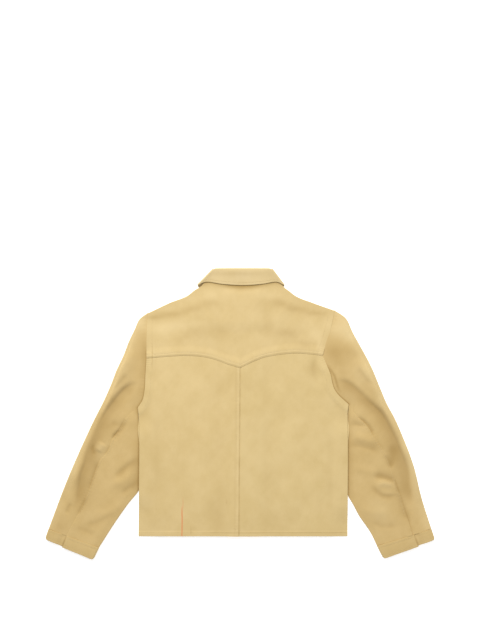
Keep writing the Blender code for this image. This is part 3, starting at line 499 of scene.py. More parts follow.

# Long soft bands of painted shade on the yoke below the shoulders, told in the same way as the sinking folds
SHADE_BANDS_YOKE = (
    (
        ((-0.262, 0.247), (-0.200, 0.262), (-0.150, 0.272), (-0.104, 0.290), (-0.058, 0.312)),
        0.0085, -0.0019, 0.0,
    ),
    (
        ((0.262, 0.258), (0.206, 0.266), (0.152, 0.280), (0.108, 0.296), (0.064, 0.316)),
        0.0095, -0.0021, 0.0,
    ),
    (((-0.188, 0.194), (-0.150, 0.204), (-0.122, 0.220), (-0.080, 0.222)), 0.0100, -0.0009, 0.0),
    (((0.196, 0.192), (0.160, 0.190), (0.132, 0.214), (0.088, 0.228)), 0.0110, -0.0010, 0.0),
)

# The pale surface, the lights (name, place, size, share of the power; both aim at the middle) and the camera
SURFACE_HALF = 6.0
LIGHTS = (("light_above", (-0.9, 3.4, 3.0), 1.8, 1.0), ("light_low", (2.6, -2.5, 2.6), 2.0, 0.16))
SENSOR = 36.0
CAMERA_HEIGHT = 3.0
SHARP_HEIGHT = 0.006
VIEW_HEIGHT = 1.7067
VIEW_MIDDLE = 0.2507


# ---------------------------------------------------------------- curves and easing
def eased(value, start, end):
    """0 before start, 1 past end, and the cubic 3s^2 - 2s^3 between, s the share of the way."""
    share = np.clip((np.asarray(value, float) - start) / (end - start), 0.0, 1.0)
    return share * share * (3.0 - 2.0 * share)


def bell(distance, width):
    """1 at no distance, falling off on both sides: exp(-(distance / width)^2)."""
    return np.exp(-((distance / width) ** 2))


def along(points, shares):
    """Points at these shares of the length of a cubic Hermite curve through the points, whose slope at each
    is the mean of its two chords."""
    points = np.asarray(points, float)
    reach = np.concatenate([[0.0], np.cumsum(np.linalg.norm(np.diff(points, axis=0), axis=1))])
    slope = np.gradient(points, reach, axis=0)
    at = np.asarray(shares, float) * reach[-1]
    span = np.clip(np.searchsorted(reach, at, side="right") - 1, 0, len(reach) - 2)
    width = (reach[span + 1] - reach[span])[:, None]
    t = (at - reach[span])[:, None] / width
    start = (1 + 2 * t) * (1 - t) ** 2 * points[span] + t * (1 - t) ** 2 * width * slope[span]
    end = t * t * (3 - 2 * t) * points[span + 1] + t * t * (t - 1) * width * slope[span + 1]
    return start + end


def evenly(points, steps):
    """Points at even shares of the curve that `along` describes."""
    return along(points, np.linspace(0.0, 1.0, steps + 1))


def closer_at_ends(steps, amount):
    """Shares from 0 to 1 that crowd towards both ends: t - amount * sin(2 pi t) / (2 pi)."""
    t = np.linspace(0.0, 1.0, steps + 1)
    return t - amount * np.sin(2 * np.pi * t) / (2 * np.pi)


def closer_at_start(steps, amount):
    """Shares from 0 to 1 that crowd towards 0: (exp(amount t) - 1) / (exp(amount) - 1)."""
    t = np.linspace(0.0, 1.0, steps + 1)
    return np.expm1(amount * t) / np.expm1(amount)


def joined(first, second):
    """Two runs of points as one, the place where they meet told once."""
    return np.concatenate([first, second[1:]])


def shifted(points, distance):
    """A plan curve moved sideways by a distance, to the right of the way it runs."""
    ahead = np.gradient(points, axis=0)
    ahead /= np.linalg.norm(ahead, axis=1)[:, None]
    return points + distance * np.stack([ahead[:, 1], -ahead[:, 0]], axis=1)


def to_line(x, y, line):
    """Distance in plan to a run of straight lines, the share of the run at the nearest place, and 1 where the
    point lies left of the run there, -1 where it lies right."""
    line = np.asarray(line, float)
    nearest = np.full(np.shape(x), np.inf)
    share = np.zeros(np.shape(x))
    side = np.ones(np.shape(x))
    for number, (a, b) in enumerate(zip(line, line[1:])):
        way = b - a
        t = np.clip(((x - a[0]) * way[0] + (y - a[1]) * way[1]) / (way @ way), 0.0, 1.0)
        off_x, off_y = x - a[0] - t * way[0], y - a[1] - t * way[1]
        distance = np.hypot(off_x, off_y)
        closer = distance < nearest
        nearest = np.where(closer, distance, nearest)
        share = np.where(closer, (number + t) / (len(line) - 1), share)
        side = np.where(closer, np.sign(way[0] * off_y - way[1] * off_x), side)
    return nearest, share, side


def coons(bottom, top, left, right, u, v):
    """Blend of four plan edges: (1-u) left + u right + (1-v) bottom + v top, less the blend of the corners.
    bottom and top run to the right at the shares u, left and right run up at the shares v."""
    u = u[None, :, None]
    v = v[:, None, None]
    across = (1 - u) * left[:, None] + u * right[:, None]
    upward = (1 - v) * bottom[None] + v * top[None]
    corners = (1 - v) * ((1 - u) * bottom[0] + u * bottom[-1]) + v * ((1 - u) * top[0] + u * top[-1])
    return across + upward - corners


def through(rows, steps):
    """Rows of numbers at even steps on the cubic Hermite curve through the given rows."""
    slope = np.gradient(rows, axis=0)
    at = np.linspace(0.0, len(rows) - 1.0, steps + 1)
    span = np.minimum(at.astype(int), len(rows) - 2)
    t = (at - span)[:, None]
    start = (1 + 2 * t) * (1 - t) ** 2 * rows[span] + t * (1 - t) ** 2 * slope[span]
    return start + t * t * (3 - 2 * t) * rows[span + 1] + t * t * (t - 1) * slope[span + 1]


def refined(points, rows, columns):
    """A coarse grid of points made finer, each way by the curve that `along` describes."""
    tall = points.reshape(points.shape[0], -1)
    tall = through(tall, rows)
    wide = tall.reshape(rows + 1, points.shape[1], 3).transpose(1, 0, 2).reshape(points.shape[1], -1)
    return through(wide, columns).reshape(columns + 1, rows + 1, 3).transpose(1, 0, 2)


def average(height, steps):
    """The mean of a grid over a square of steps each way, by its running sums."""
    size = 2 * steps + 1
    total = np.cumsum(np.cumsum(np.pad(np.pad(height, steps, mode="edge"), ((1, 0), (1, 0))), axis=0), axis=1)
    return (
        total[size:, size:] - total[:-size, size:] - total[size:, :-size] + total[:-size, :-size]
    ) / size**2


# ---------------------------------------------------------------- heights of the layers
def end_fade(curve, share):
    """1 along a fold, easing to 0 towards its two ends, over less of the way where the fold is short."""
    length = np.linalg.norm(np.diff(curve, axis=0), axis=1).sum()
    return eased(np.minimum(share, 1.0 - share) * length, 0.0, min(FOLD_FADE, FOLD_FADE_SHARE * length))


def fold_bell(x, y, fold, spread, least):
    """A fold's bell: exp(-(distance / half width)^2), fading to the least share towards its two ends."""
    curve, half_width, _, lean = fold
    curve = evenly(curve, FOLD_STEPS * (len(curve) - 1))
    distance, share, side = to_line(x, y, curve)
    width = spread * half_width * (1.0 + lean * side)
    return (least + (1.0 - least) * end_fade(curve, share)) * np.exp(-((distance / width) ** 2))


def fold_height(x, y, folds):
    """The sum of the folds, each its rise times its bell."""
    height = sum(fold[2] * fold_bell(x, y, fold, 1.0, 0.12) for fold in folds)
    return bpy.context.scene.jacket.fold_depth * height


def fold_shade(x, y, folds):
    """Painted shade in the sinking folds: 1 in the deepest, by a bell a little wider than their height's."""
    shade = np.zeros(np.shape(x))
    for fold in folds:
        if fold[2] < 0.0:
            depth = np.minimum(-fold[2] / DEEPEST, 1.0) ** SHADE_POWER
            shade += depth * fold_bell(x, y, fold, SHADE_SPREAD, 0.1)
    return shade


def unevenness(x, y):
    """The slight waviness of a hide that lies flat: a sum of sine waves of different length and direction."""
    return sum(rise * np.sin(across * x + up * y + start) for across, up, start, rise in WAVES)


def puckers(distance, run, reach):
    """Small pulls across a stitched seam, about 9 mm apart, dying away within reach of it."""
    pull = np.sin(run * PUCKER_RATE + 2.0 * np.sin(run * 83.0)) * (0.6 + 0.4 * np.sin(run * 37.0 + 1.0))
    return PUCKER_RISE * pull * np.exp(-((distance / reach) ** 2))


def groove(distance, place):
    """The dent that a row of stitches pulls into the leather."""
    return -GROOVE * np.exp(-(((distance - place) / GROOVE_WIDTH) ** 2))


def side_x(y, side):
    """Where the body's side is at this height in plan, by straight lines through its points."""
    points = np.asarray(side)
    return np.interp(y, points[::-1, 1], points[::-1, 0])


def tuck_lift(x, y):
    """How far the body's sides ride over the sleeves: the rise, easing out with the distance from the side,
    towards the armpit, and where the sleeve parts from the body."""
    lift = 0.0
    for half in HALVES:
        across = 1.0 - eased((x - side_x(y, half.side)) * half.inward, *TUCK_FADE)
        below = 1.0 - eased(-y, half.parts, half.parts + TUCK_END)
        lift = lift + TUCK_RISE * across * eased(-y, 0.0, TUCK_START) * below
    return lift


def collar_lift(x, y):
    """How far the layers ride over the collar's front ends, easing out with the distance from their line."""
    distance, _, _ = to_line(np.abs(x - CENTRE), y, COLLAR_LINE)
    return COLLAR_RISE * (1.0 - eased(distance, *COLLAR_FADE))


def front_height(x, y, half):
    """Mid-wall height of a front: flat on the surface, then up over the buttons, and the right one also over
    the left one, over the collar's ends and over the sleeve."""
    if half is LEFT:
        placket = PLACKET_RISE * eased(x - CENTRE, *PLACKET_LEFT_FADE)
    else:
        placket = (PLACKET_RISE + WALL + SEAM_GAP) * (1.0 - eased(x - CENTRE, *PLACKET_RIGHT_FADE))
    return FLOOR_LAYER + np.maximum(placket, collar_lift(x, y)) + tuck_lift(x, y)


def crown(x, y):
    """1 over the middle of the body, easing to 0 at the side and shoulder seams."""
    share = 1.0
    for seam in (LEFT.side, RIGHT.side, LEFT.shoulder, RIGHT.shoulder):
        share = share * eased(to_line(x, y, (seam[0], seam[2], seam[-1]))[0], 0.0, CROWN_REACH)
    return share


def body_height(x, y):
    """Mid-wall height of the plain back: a layer over the fronts, crowned in the middle, and up over the
    buttons, the collar's ends and the sleeves."""
    over_placket = BACK_OVER_PLACKET * (1.0 - eased(np.abs(x - CENTRE), *BACK_FADE_ACROSS))
    over_placket = over_placket * (1.0 - eased(y, *BACK_FADE_UP))
    body = SECOND_LAYER + CROWN * crown(x, y) + over_placket
    return body + collar_lift(x, y) + tuck_lift(x, y)


def yoke_seam_y(x):
    """Height in plan of the yoke's pointed lower edge."""
    shares = np.linspace(0, 1, 80)
    line = np.concatenate([along(YOKE_LEFT, shares), along(YOKE_RIGHT, shares)])
    return np.interp(x, line[:, 0], line[:, 1])


def centre_x(y):
    """The centre-back seam runs from the yoke's point to a little left of it at the hem."""
    return -CENTRE_DRIFT * eased(-(y - YOKE_POINT[1]), 0.0, CENTRE_DRIFT_OVER)


def hem_band(y):
    """1 over the turned-up hem, easing to 0 above it."""
    return 1.0 - eased(y - HEM, HEM_BAND - BAND_START, HEM_BAND + HEM_BAND_FADE)


def armhole_band(x, y):
    """The body's seam allowance turned in beside the armholes, its row of stitches and their puckers."""
    rise = 0.0
    for line, at_yoke, beyond in ARMHOLES:
        distance, share, _ = to_line(x, y, evenly(line, 16))
        proud = at_yoke + (beyond - at_yoke) * eased(share, *PROUD_FADE)
        band = 1.0 - eased(distance, ARMHOLE_BAND - BAND_START, ARMHOLE_BAND + ARMHOLE_BAND_FADE)
        rise = np.maximum(rise, proud * ARMHOLE_RISE * band) + ARMHOLE_DENT * groove(distance, ARMHOLE_BAND)
        rise = rise + puckers(distance, share * ARMHOLE_LENGTH, WIDE_PUCKER)
    return rise


def relief(x, y):
    """What the dressed back has over the plain one: folds, waviness, hem and armhole bands."""
    quiet = 1.0 - HEM_QUIET * hem_band(y)
    lift = (fold_height(x, y, FOLDS_BACK) + unevenness(x, y)) * quiet
    bands = HEM_THICK * hem_band(y) + armhole_band(x, y) + groove(y - HEM, HEM_BAND)
    return lift * crown(x, y) ** 0.5 + bands


def back_height(x, y, half):
    """Mid-wall height of a back panel. The left one laps over the right one and has the stitches."""
    height = body_height(x, y) + relief(x, y)
    below = yoke_seam_y(x) - y
    height = height - YOKE_SINKS * (1.0 - eased(below, 0.0, CENTRE_STEP)) + puckers(below, x, PUCKER)
    from_centre = centre_x(y) - x
    if half is LEFT:
        height = height + LAP * (1.0 - eased(from_centre, LAP_WIDTH, LAP_WIDTH + LAP_FADE))
        height = height + groove(from_centre, STITCH_FROM_EDGE) + puckers(from_centre - PUCKER_IN, y, PUCKER)
    return height


def yoke_height(x, y):
    """Mid-wall height of the yoke: lapped over the back along its pointed lower edge, and riding over the lap
    of the centre-back seam."""
    above = y - yoke_seam_y(x)
    from_centre = centre_x(y) - x
    over_centre = 1.0 - eased(from_centre, LAP_WIDTH, LAP_WIDTH + LAP_FADE)
    over_centre = eased(from_centre, -CENTRE_STEP, CENTRE_STEP) * over_centre
    lap = LAP * (1.0 - eased(above, LAP_WIDTH, LAP_WIDTH + LAP_FADE))
    lap = lap + LAP * over_centre * (1.0 - eased(above, *OVER_CENTRE_FADE))
    height = body_height(x, y) + relief(x, y) + lap
    return height + groove(above, STITCH_FROM_EDGE) + puckers(above - PUCKER_IN, x, PUCKER)


def with_height(plan, height):
    """Plan points and their heights as one grid of points."""
    return np.dstack([plan, height])


# ---------------------------------------------------------------- meshes
def mesh_object(name, vertices, quads, finish, values=None):
    """A mesh object from whole arrays of vertices, four-sided faces and values for each vertex."""
    mesh = bpy.data.meshes.new(name)
    mesh.vertices.add(len(vertices))
    mesh.vertices.foreach_set("co", np.ascontiguousarray(vertices, np.float32).ravel())
    mesh.loops.add(quads.size)
    mesh.loops.foreach_set("vertex_index", np.ascontiguousarray(quads, np.int32).ravel())
    mesh.polygons.add(len(quads))
    mesh.polygons.foreach_set("loop_start", np.arange(0, quads.size, 4, dtype=np.int32))
    mesh.update(calc_edges=True)
    for key, numbers in (values or {}).items():
        attribute = mesh.attributes.new(key, "FLOAT", "POINT")
        attribute.data.foreach_set("value", np.ascontiguousarray(numbers, np.float32).ravel())
    mesh.validate()
    mesh.shade_smooth()
    mesh.materials.append(finish)
    piece = bpy.data.objects.new(name, mesh)
    bpy.context.scene.collection.objects.link(piece)
    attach(piece, "root")
    return piece


def unit(vectors):
    """The vectors at length 1."""
    length = np.linalg.norm(vectors, axis=-1, keepdims=True)
    return vectors / np.maximum(length, 1e-12)


def facing(points):
    """Unit normals of a grid of points: the cross product of its two gradients."""
    return unit(np.cross(np.gradient(points, axis=1), np.gradient(points, axis=0)))


def leather(name, points, wall, finish, node, slot, values, rests_on):
    """A piece of leather as one closed shell round a grid of mid-wall points: each point moved half the wall
    along the normal and against it, and a half-round edge of three more rows all the way round."""
    rows, columns = points.shape[:2]
    normal = facing(points)
    half = np.broadcast_to(np.asarray(wall, float), (rows, columns))[..., None] / 2
    index = np.arange(rows * columns).reshape(rows, columns)
    quads = np.stack([index[:-1, :-1], index[:-1, 1:], index[1:, 1:], index[1:, :-1]], -1).reshape(-1, 4)
    loop = np.concatenate([index[0, :-1], index[:-1, -1], index[-1, :0:-1], index[:0:-1, 0]])
    across = unit(np.gradient(points, axis=1))
    ahead = unit(np.gradient(points, axis=0))
    out = np.zeros_like(points)
    out[0] -= ahead[0]
    out[-1] += ahead[-1]
    out[:, 0] -= across[:, 0]
    out[:, -1] += across[:, -1]
    edge, edge_normal, edge_half, out = (
        grid.reshape(rows * columns, -1)[loop] for grid in (points, normal, half, unit(out))
    )
    rings = [
        edge + edge_half * (np.sin(angle) * edge_normal + EDGE_OUT * np.cos(angle) * out)
        for angle in np.radians(EDGE_ANGLES)
    ]
    count, run = rows * columns, len(loop)
    upper, under = (points + normal * half).reshape(-1, 3), (points - normal * half).reshape(-1, 3)
    vertices = np.concatenate([upper, *rings, under])
    lower = count + len(rings) * run
    rounds = [loop, *(count + ring * run + np.arange(run) for ring in range(len(rings))), lower + loop]
    rim = [
        np.stack([np.roll(first, -1), first, second, np.roll(second, -1)], -1)
        for first, second in zip(rounds, rounds[1:])
    ]
    faces = np.concatenate([quads, *rim, lower + quads[:, ::-1]])
    spread = {}
    for key, numbers in values.items():
        flat = np.broadcast_to(numbers, (rows, columns)).ravel()
        spread[key] = np.concatenate([flat, *(flat[loop],) * len(rings), flat])
    cut = np.zeros(len(vertices))
    cut[count:lower] = 1.0
    spread["cut_edge"] = cut
    piece = mesh_object(name, vertices, faces, finish, spread)
    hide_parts(node)
    return piece


def stitches(name, runs, finish):
    """Rows of thread: every stitch a short tube that tapers and dips into the leather at its two ends. Each
    run is (points, normals) on the surface; a stitch's middle stands proud by 4 s (1 - s) of its lift."""
    sizes = bpy.context.scene.jacket
    pitch = sizes.stitch_length + sizes.stitch_gap
    starts, ends, ups = [], [], []
    for points, normal in runs:
        reach = np.concatenate([[0.0], np.cumsum(np.linalg.norm(np.diff(points, axis=0), axis=1))])
        count = max(1, int(reach[-1] / pitch))
        first = np.arange(count) * reach[-1] / count
        last = first + reach[-1] / count * sizes.stitch_length / pitch
        for at, source, into in (
            (first, points, starts), (last, points, ends), ((first + last) / 2, normal, ups),
        ):
            into.append(np.stack([np.interp(at, reach, source[:, axis]) for axis in range(3)], axis=1))
    start, end, up = np.concatenate(starts), np.concatenate(ends), unit(np.concatenate(ups))
    way = end - start
    side = unit(np.cross(way, up))[:, None, None]
    share, thick = np.array(STITCH_TAPER).T
    sides, rings = 6, len(share)
    around = (np.arange(sides) * 2 * np.pi / sides)[None, None, :, None]
    lift = sizes.thread * (STITCH_CREST * 4 * share * (1 - share) - STITCH_SUNK)
    spine = start[:, None] + share[None, :, None] * way[:, None] + lift[None, :, None] * up[:, None]
    ring = np.cos(around) * side + np.sin(around) * up[:, None, None]
    points = spine[:, :, None] + (thick * sizes.thread / 2)[None, :, None, None] * ring
    base = np.arange(len(start))[:, None, None] * sides * rings
    here = base + np.arange(rings - 1)[None, :, None] * sides
    this, following = np.arange(sides)[None, None], np.roll(np.arange(sides), -1)[None, None]
    tube = np.stack([here + this, here + following, here + sides + following, here + sides + this], -1)
    top = sides * (rings - 1)
    caps = np.array([
        (0, 3, 2, 1), (0, 5, 4, 3), (top, top + 1, top + 2, top + 3), (top, top + 3, top + 4, top + 5),
    ])
    quads = np.concatenate([tube.reshape(-1, 4), (base + caps[None]).reshape(-1, 4)])
    return mesh_object(name, points.reshape(-1, 3), quads, finish)


# ---------------------------------------------------------------- finishes
class Finish:
    """A new material, with short ways to add and join its shader nodes."""

    def __init__(self, name):
        self.material = bpy.data.materials.new(name)
        self.material.use_nodes = True
        self.tree = self.material.node_tree
        self.surface = self.tree.nodes["Principled BSDF"].inputs

    def put(self, socket, value):
        """Links another node's socket, or sets a number or a colour on the socket itself."""
        if isinstance(value, bpy.types.NodeSocket):
            self.tree.links.new(value, socket)
        else:
            socket.default_value = (*value, 1.0) if np.ndim(value) else value

    def node(self, kind, label, **inputs):
        made = self.tree.nodes.new(kind)
        made.label = label
        for key, value in inputs.items():
            self.put(made.inputs[key.replace("_", " ")], value)
        return made

    def place(self):
        return self.node("ShaderNodeTexCoord", "Place on the jacket").outputs["Object"]

    def stretched(self, label, place, scale, turn=0.0):
        made = self.node("ShaderNodeMapping", label)
        made.inputs["Rotation"].default_value[2] = turn
        made.inputs["Scale"].default_value = scale
        self.put(made.inputs["Vector"], place)
        return made.outputs[0]

    def noise(self, label, place, scale, detail=3.0, roughness=0.6):
        made = self.node(
            "ShaderNodeTexNoise", label, Vector=place, Scale=scale, Detail=detail, Roughness=roughness,
        )
        return made.outputs[0]

    def attribute(self, name):
        made = self.node("ShaderNodeAttribute", name)
        made.attribute_name = name
        return made.outputs["Fac"]

    def ranged(self, label, value, low, high, to_low=0.0, to_high=1.0):
        """A smooth step from to_low at low to to_high at high."""
        made = self.node(
            "ShaderNodeMapRange", label, From_Min=low, From_Max=high, To_Min=to_low, To_Max=to_high,
        )
        made.interpolation_type = "SMOOTHSTEP"
        self.put(made.inputs["Value"], value)
        return made.outputs[0]

    def sum_of(self, label, first, second=0.0, way="ADD"):
        made = self.node("ShaderNodeMath", label)
        made.operation = way
        self.put(made.inputs[0], first)
        self.put(made.inputs[1], second)
        return made.outputs[0]

    def times(self, label, first, second):
        return self.sum_of(label, first, second, "MULTIPLY")

    def weighed(self, label, *shares):
        """The sum of values, each times its weight."""
        total = None
        for value, weight in shares:
            part = self.times(label, value, weight)
            total = part if total is None else self.sum_of(label, total, part)
        return total

    def mix(self, label, share, first, second):
        """first and second mixed by share; each may be a socket or a plain colour."""
        made = self.node("ShaderNodeMix", label)
        made.data_type = "RGBA"
        for number, value in ((0, share), (6, first), (7, second)):
            self.put(made.inputs[number], value)
        return made.outputs[2]

    def bump(self, label, height, strength, distance):
        made = self.node("ShaderNodeBump", label, Strength=strength, Distance=distance, Height=height)
        self.put(self.surface["Normal"], made.outputs[0])


def suede(name, tone, brush_angle, marked=False):
    """Split hide with a short nap: a cloudy straw colour in three sizes, strokes where the nap lies one way
    or the other, paler places that are partly painted highlights, painted shade down in the folds and
    hollows, darker cut edges that are partly painted shade, and a bump of nap and soft grain."""
    colours = bpy.context.scene.jacket
    finish = Finish(name)
    for key, value in (
        ("Roughness", 0.92), ("Specular IOR Level", 0.18), ("Sheen Weight", colours.sheen),
        ("Sheen Roughness", 0.55), ("Sheen Tint", (1.0, 0.93, 0.76)),
    ):
        finish.put(finish.surface[key], value)
    place = finish.place()
    brushed = finish.stretched("Nap direction", place, (1.0, 0.45, 1.0), brush_angle)
    clouds = finish.noise("Clouds of the dye", place, 5.5, roughness=0.55)
    patches = finish.noise("Patches", place, 21.0)
    strokes = finish.noise("Nap strokes", brushed, 95.0)
    nap = finish.noise("Nap", place, 950.0, roughness=0.7)
    grain = finish.noise("Soft grain", place, 240.0, roughness=0.65)

    whole = np.array(colours.suede)
    base = whole * tone
    cloudy = finish.weighed("Clouds, patches and strokes", (clouds, 0.42), (patches, 0.44), (strokes, 0.14))
    cloudy = finish.ranged("Evenness", cloudy, 0.34, 0.66)
    colour = finish.mix("Cloudy suede", cloudy, base * DEEP_NAP, np.clip(base * PALE_NAP, 0, 1))
    tips = finish.times("Few fibre tips", finish.ranged("Fibre tips", nap, 0.36, 0.66), 0.12)
    colour = finish.mix("Fibres", tips, colour, np.clip(base * FIBRE_TIP, 0, 1))
    # Paler places: partly the hide's own tone, partly painted highlights on ridges, rolls and the sleeves'
    # outer edges
    colour = finish.mix("Paler places and painted highlights", finish.attribute("tone"), colour, np.clip(whole * PALER_AND_LIT_NAP, 0, 1))
    # Painted shade from the shade attribute: darker in folds, creases, hollows, beside seams and under the
    # collar
    colour = finish.mix("Painted shade", finish.attribute("shade"), colour, base * PAINTED_SHADE_NAP)
    if marked:
        colour = natural_marks(finish, place, colour)
    # Darker cut edges: partly the raw cut's own tone, partly painted shade against the light that the glowing
    # surface throws onto the rims
    edge = finish.times("Edge shows", finish.attribute("cut_edge"), 0.6)
    colour = finish.mix("Cut edge", edge, colour, base * CUT_EDGE_AND_SHADE)
    finish.put(finish.surface["Base Color"], colour)
    height = finish.weighed("Nap, grain and strokes", (nap, 0.55), (grain, 0.9), (strokes, 0.8))
    finish.bump("Nap and grain", height, 0.55, colours.nap_height)
    return finish.material


def natural_marks(finish, place, colour):
    """A rust-coloured vein that runs up from the hem, and a few faint scars of the hide beside it. A mark is
    strong where its distance from a slightly wandering upright line is small, and fades towards its ends."""
    parts = finish.node("ShaderNodeSeparateXYZ", "Across and up", Vector=place)
    wander = finish.times("Wander", finish.noise("Wander", place, 60.0, 2.0, 0.55), 0.0020)
    for label, at, half, low, high, strength, tint in MARKS:
        off = finish.sum_of(label, finish.sum_of(label, parts.outputs[0], at, "SUBTRACT"), wander)
        off = finish.sum_of(label, finish.sum_of(label, off, 0.0010, "SUBTRACT"), way="ABSOLUTE")
        near = finish.ranged(label, off, half * 1.6, half * 0.3)
        above = finish.ranged(label, parts.outputs[1], low - 0.006, low + 0.002)
        below = finish.ranged(label, parts.outputs[1], high, high - 0.022)
        share = finish.times(label, finish.times(label, above, below), near)
        share = finish.times(label, share, strength)
        colour = finish.mix(label, share, colour, tint or bpy.context.scene.jacket.mark)
    return colour


def thread_finish():
    """Twisted sewing thread a little paler than the suede."""
    finish = Finish("jacket_thread")
    finish.put(finish.surface["Roughness"], 0.62)
    finish.put(finish.surface["Sheen Weight"], 0.2)
    twist = finish.node("ShaderNodeTexWave", "Twist", Scale=900.0, Distortion=0.6, Vector=finish.place())
    twist.bands_direction = "DIAGONAL"
    plies = twist.outputs["Fac"]
    base = np.array(bpy.context.scene.jacket.thread_colour)
    finish.put(finish.surface["Base Color"], finish.mix("Plies", plies, base * 0.82, base))
    finish.bump("Plies", plies, 0.5, 0.0001)
    return finish.material


def horn_finish():
    """Turned horn: brown with streaks, satin."""
    finish = Finish("jacket_horn")
    stretched = finish.stretched("Streaks", finish.place(), (1.0, 0.15, 1.0))
    streaks = finish.noise("Streaks", stretched, 420.0, 4.0)
    base = np.array(bpy.context.scene.jacket.horn)
    share = finish.ranged("Streaks", streaks, 0.35, 0.65)
    colour = finish.mix("Horn", share, base * 0.45, np.clip(base * 1.5, 0, 1))
    finish.put(finish.surface["Base Color"], colour)
    finish.put(finish.surface["Roughness"], finish.ranged("Polish", streaks, 0.3, 0.7, 0.28, 0.45))
    finish.put(finish.surface["Coat Weight"], 0.15)
    finish.bump("Turning", streaks, 0.25, 0.0001)
    return finish.material


def paper_finish():
    """The matt pale surface, which also gives a little light."""
    settings = bpy.context.scene.jacket
    finish = Finish("pale_surface")
    for key, value in (
        ("Roughness", 0.9), ("Specular IOR Level", 0.1), ("Base Color", settings.surface),
        ("Emission Color", (1.0, 1.0, 1.0)), ("Emission Strength", settings.glow),
    ):
        finish.put(finish.surface[key], value)
    return finish.material


# ---------------------------------------------------------------- tones of the nap
def soft_patches(x, y, patches):
    """The sum of round soft patches: strength * exp(-((x - cx) / rx)^2 - ((y - cy) / ry)^2)."""
    total = np.zeros(np.shape(x))
    for cx, cy, rx, ry, strength in patches:
        total += strength * np.exp(-(((x - cx) / rx) ** 2) - ((y - cy) / ry) ** 2)
    return total


def tones(points, folds=(), more=0.0, lighter=0.0):
    """Values for the finish at each point: paler places and painted highlights (with `lighter`), and painted
    shade in darker places, in folds and in hollows (with `more`). A hollow is where the height lies below its
    own average, close by and a little further round."""
    x, y, height = points.transpose(2, 0, 1)
    smooth = average(height, 1)
    close = np.clip((average(height, 5) - smooth) / CLOSE_HOLLOW, 0.0, 1.0)
    wide = np.clip((average(height, 14) - smooth) / WIDE_HOLLOW, 0.0, 1.0)
    shade = soft_patches(x, y, DARKER_AND_SHADED_PATCHES) + (0.26 * close + 0.16 * wide) + FOLD_SHARE * fold_shade(x, y, folds)
    return {
        "tone": np.clip(soft_patches(x, y, PALER_AND_LIT_PATCHES) + lighter, 0.0, 1.0),
        "shade": np.clip(SHADE_SHARE * (shade + more), 0.0, 1.0),
    }


def pared(wall, from_edge, least):
    """The wall of leather that is pared down to the least share of it over the last few millimetres to a
    lapped edge."""
    return wall * (least + (1.0 - least) * eased(from_edge, 0.0, PARED_WIDTH))


def paler_line(from_edge):
    """How much paler the suede is along a line by a lapped edge's row of stitches."""
    return 0.62 * bell(from_edge - PALER_LINE_AT, 0.0020)


def seam_shade(x, y):
    """Painted shade in the fine dark lines of the backs: beside the lapped edge of the centre-back seam,
    stronger and weaker as it runs, along its stitches, and along the stitches of the hem."""
    beyond = x - centre_x(y)
    strength = 0.30 + 0.14 * np.sin(41.0 * y + 1.2) + 0.12 * np.sin(133.0 * y)
    seam = strength * bell(beyond, 0.0020) + 0.13 * bell(beyond + 0.0118, 0.0016)
    return seam + 0.42 * eased(x, -0.110, -0.060) * bell(y - HEM - HEM_BAND, 0.0017)


def seam_light(x, y):
    """A paler line between the lapped edge of the centre-back seam and its stitches, with breaks."""
    strength = 0.40 + 0.20 * np.sin(67.0 * y + 0.4) + 0.10 * np.sin(211.0 * y)
    return strength * bell(centre_x(y) - x - 0.0045, 0.0016)


def collar_shade(x, y):
    """Painted shadow of the collar's fall: a soft darker strip of the yoke along its edge, broadest and
    darkest at the middle.
    """
    half = np.array(FALL_BACK)[:, 3:5]
    edge = np.concatenate([half[:0:-1] * (-1, 1), half]) + (CENTRE, 0.0)
    distance, _, _ = to_line(x, y, evenly(edge, 24))
    middle = bell(x - CENTRE, 0.060)
    return (0.75 + 0.65 * middle) * bell(distance, 0.0070 + 0.0050 * middle)


def sleeve_shades(points, half):
    """The painted shade in the ditch along the armhole and beside the body, and the painted highlight along
    the sleeve's outer edge: bells of the distance to each."""
    x, y = points[..., 0], points[..., 1]
    away, run, _ = to_line(x, y, joined(evenly(half.upper, 24)[::-1], evenly(half.lower, 24)))
    wide, least, more, start, end = half.ditch
    ditch = (1.25 * bell(away, 0.0030) + wide * bell(away, 0.0100)) * (least + more * eased(run, start, end))
    beside, _, _ = to_line(x, y, half.side)
    hidden = eased(-y, -0.022, 0.000)
    ditch += hidden * (bell(beside, 0.0042) + 0.22 * bell(beside, 0.0110))
    rim, _, _ = to_line(x, y, evenly(half.outer, 80))
    width, pale = half.rim
    return ditch, pale * bell(rim, width)


def cuff_shade(points, half):
    """Painted shade in the gap where the cuff's upper end stops at the slit, wider on its far side."""
    ends = np.array([half.cuff_seam, half.cuff_end])
    middle = ends[:, 0] + (half.cuff_lap - CUFF_OVERLAP * 0.02) * (ends[:, 1] - ends[:, 0])
    off, down, side = to_line(points[..., 0], points[..., 1], middle)
    slot = 0.75 * bell(off, np.where(side * np.sign(middle[0, 0]) > 0, 0.0030, 0.0012))
    return slot * eased(down, 0.1, 0.5) * (points[..., 2] > CUFF_HEIGHT / 2)


# ---------------------------------------------------------------- the pieces
def back_neckline(steps):
    """The neck seam across the back, from the left to the right."""
    return evenly(((-NECK_HALF, NECK_SIDE), (0.0, NECK_BACK), (NECK_HALF, NECK_SIDE)), steps) + (CENTRE, 0.0)


def side_edges(upward, over=0.0):
    """Left and right edges of the body from the hem to the yoke's seam, at shares of the length. The back
    lies over the sleeve by `over` along the armhole, less towards the armpit."""
    easing = np.sin(np.linspace(np.pi / 2, np.pi, 41))[:, None] ** 0.5
    edges = []
    for half in HALVES:
        armhole = shifted(evenly(half.lower, 40), half.inward * over * easing)
        edges.append(along(joined(armhole, evenly(half.side, 80))[::-1], upward))
    return edges


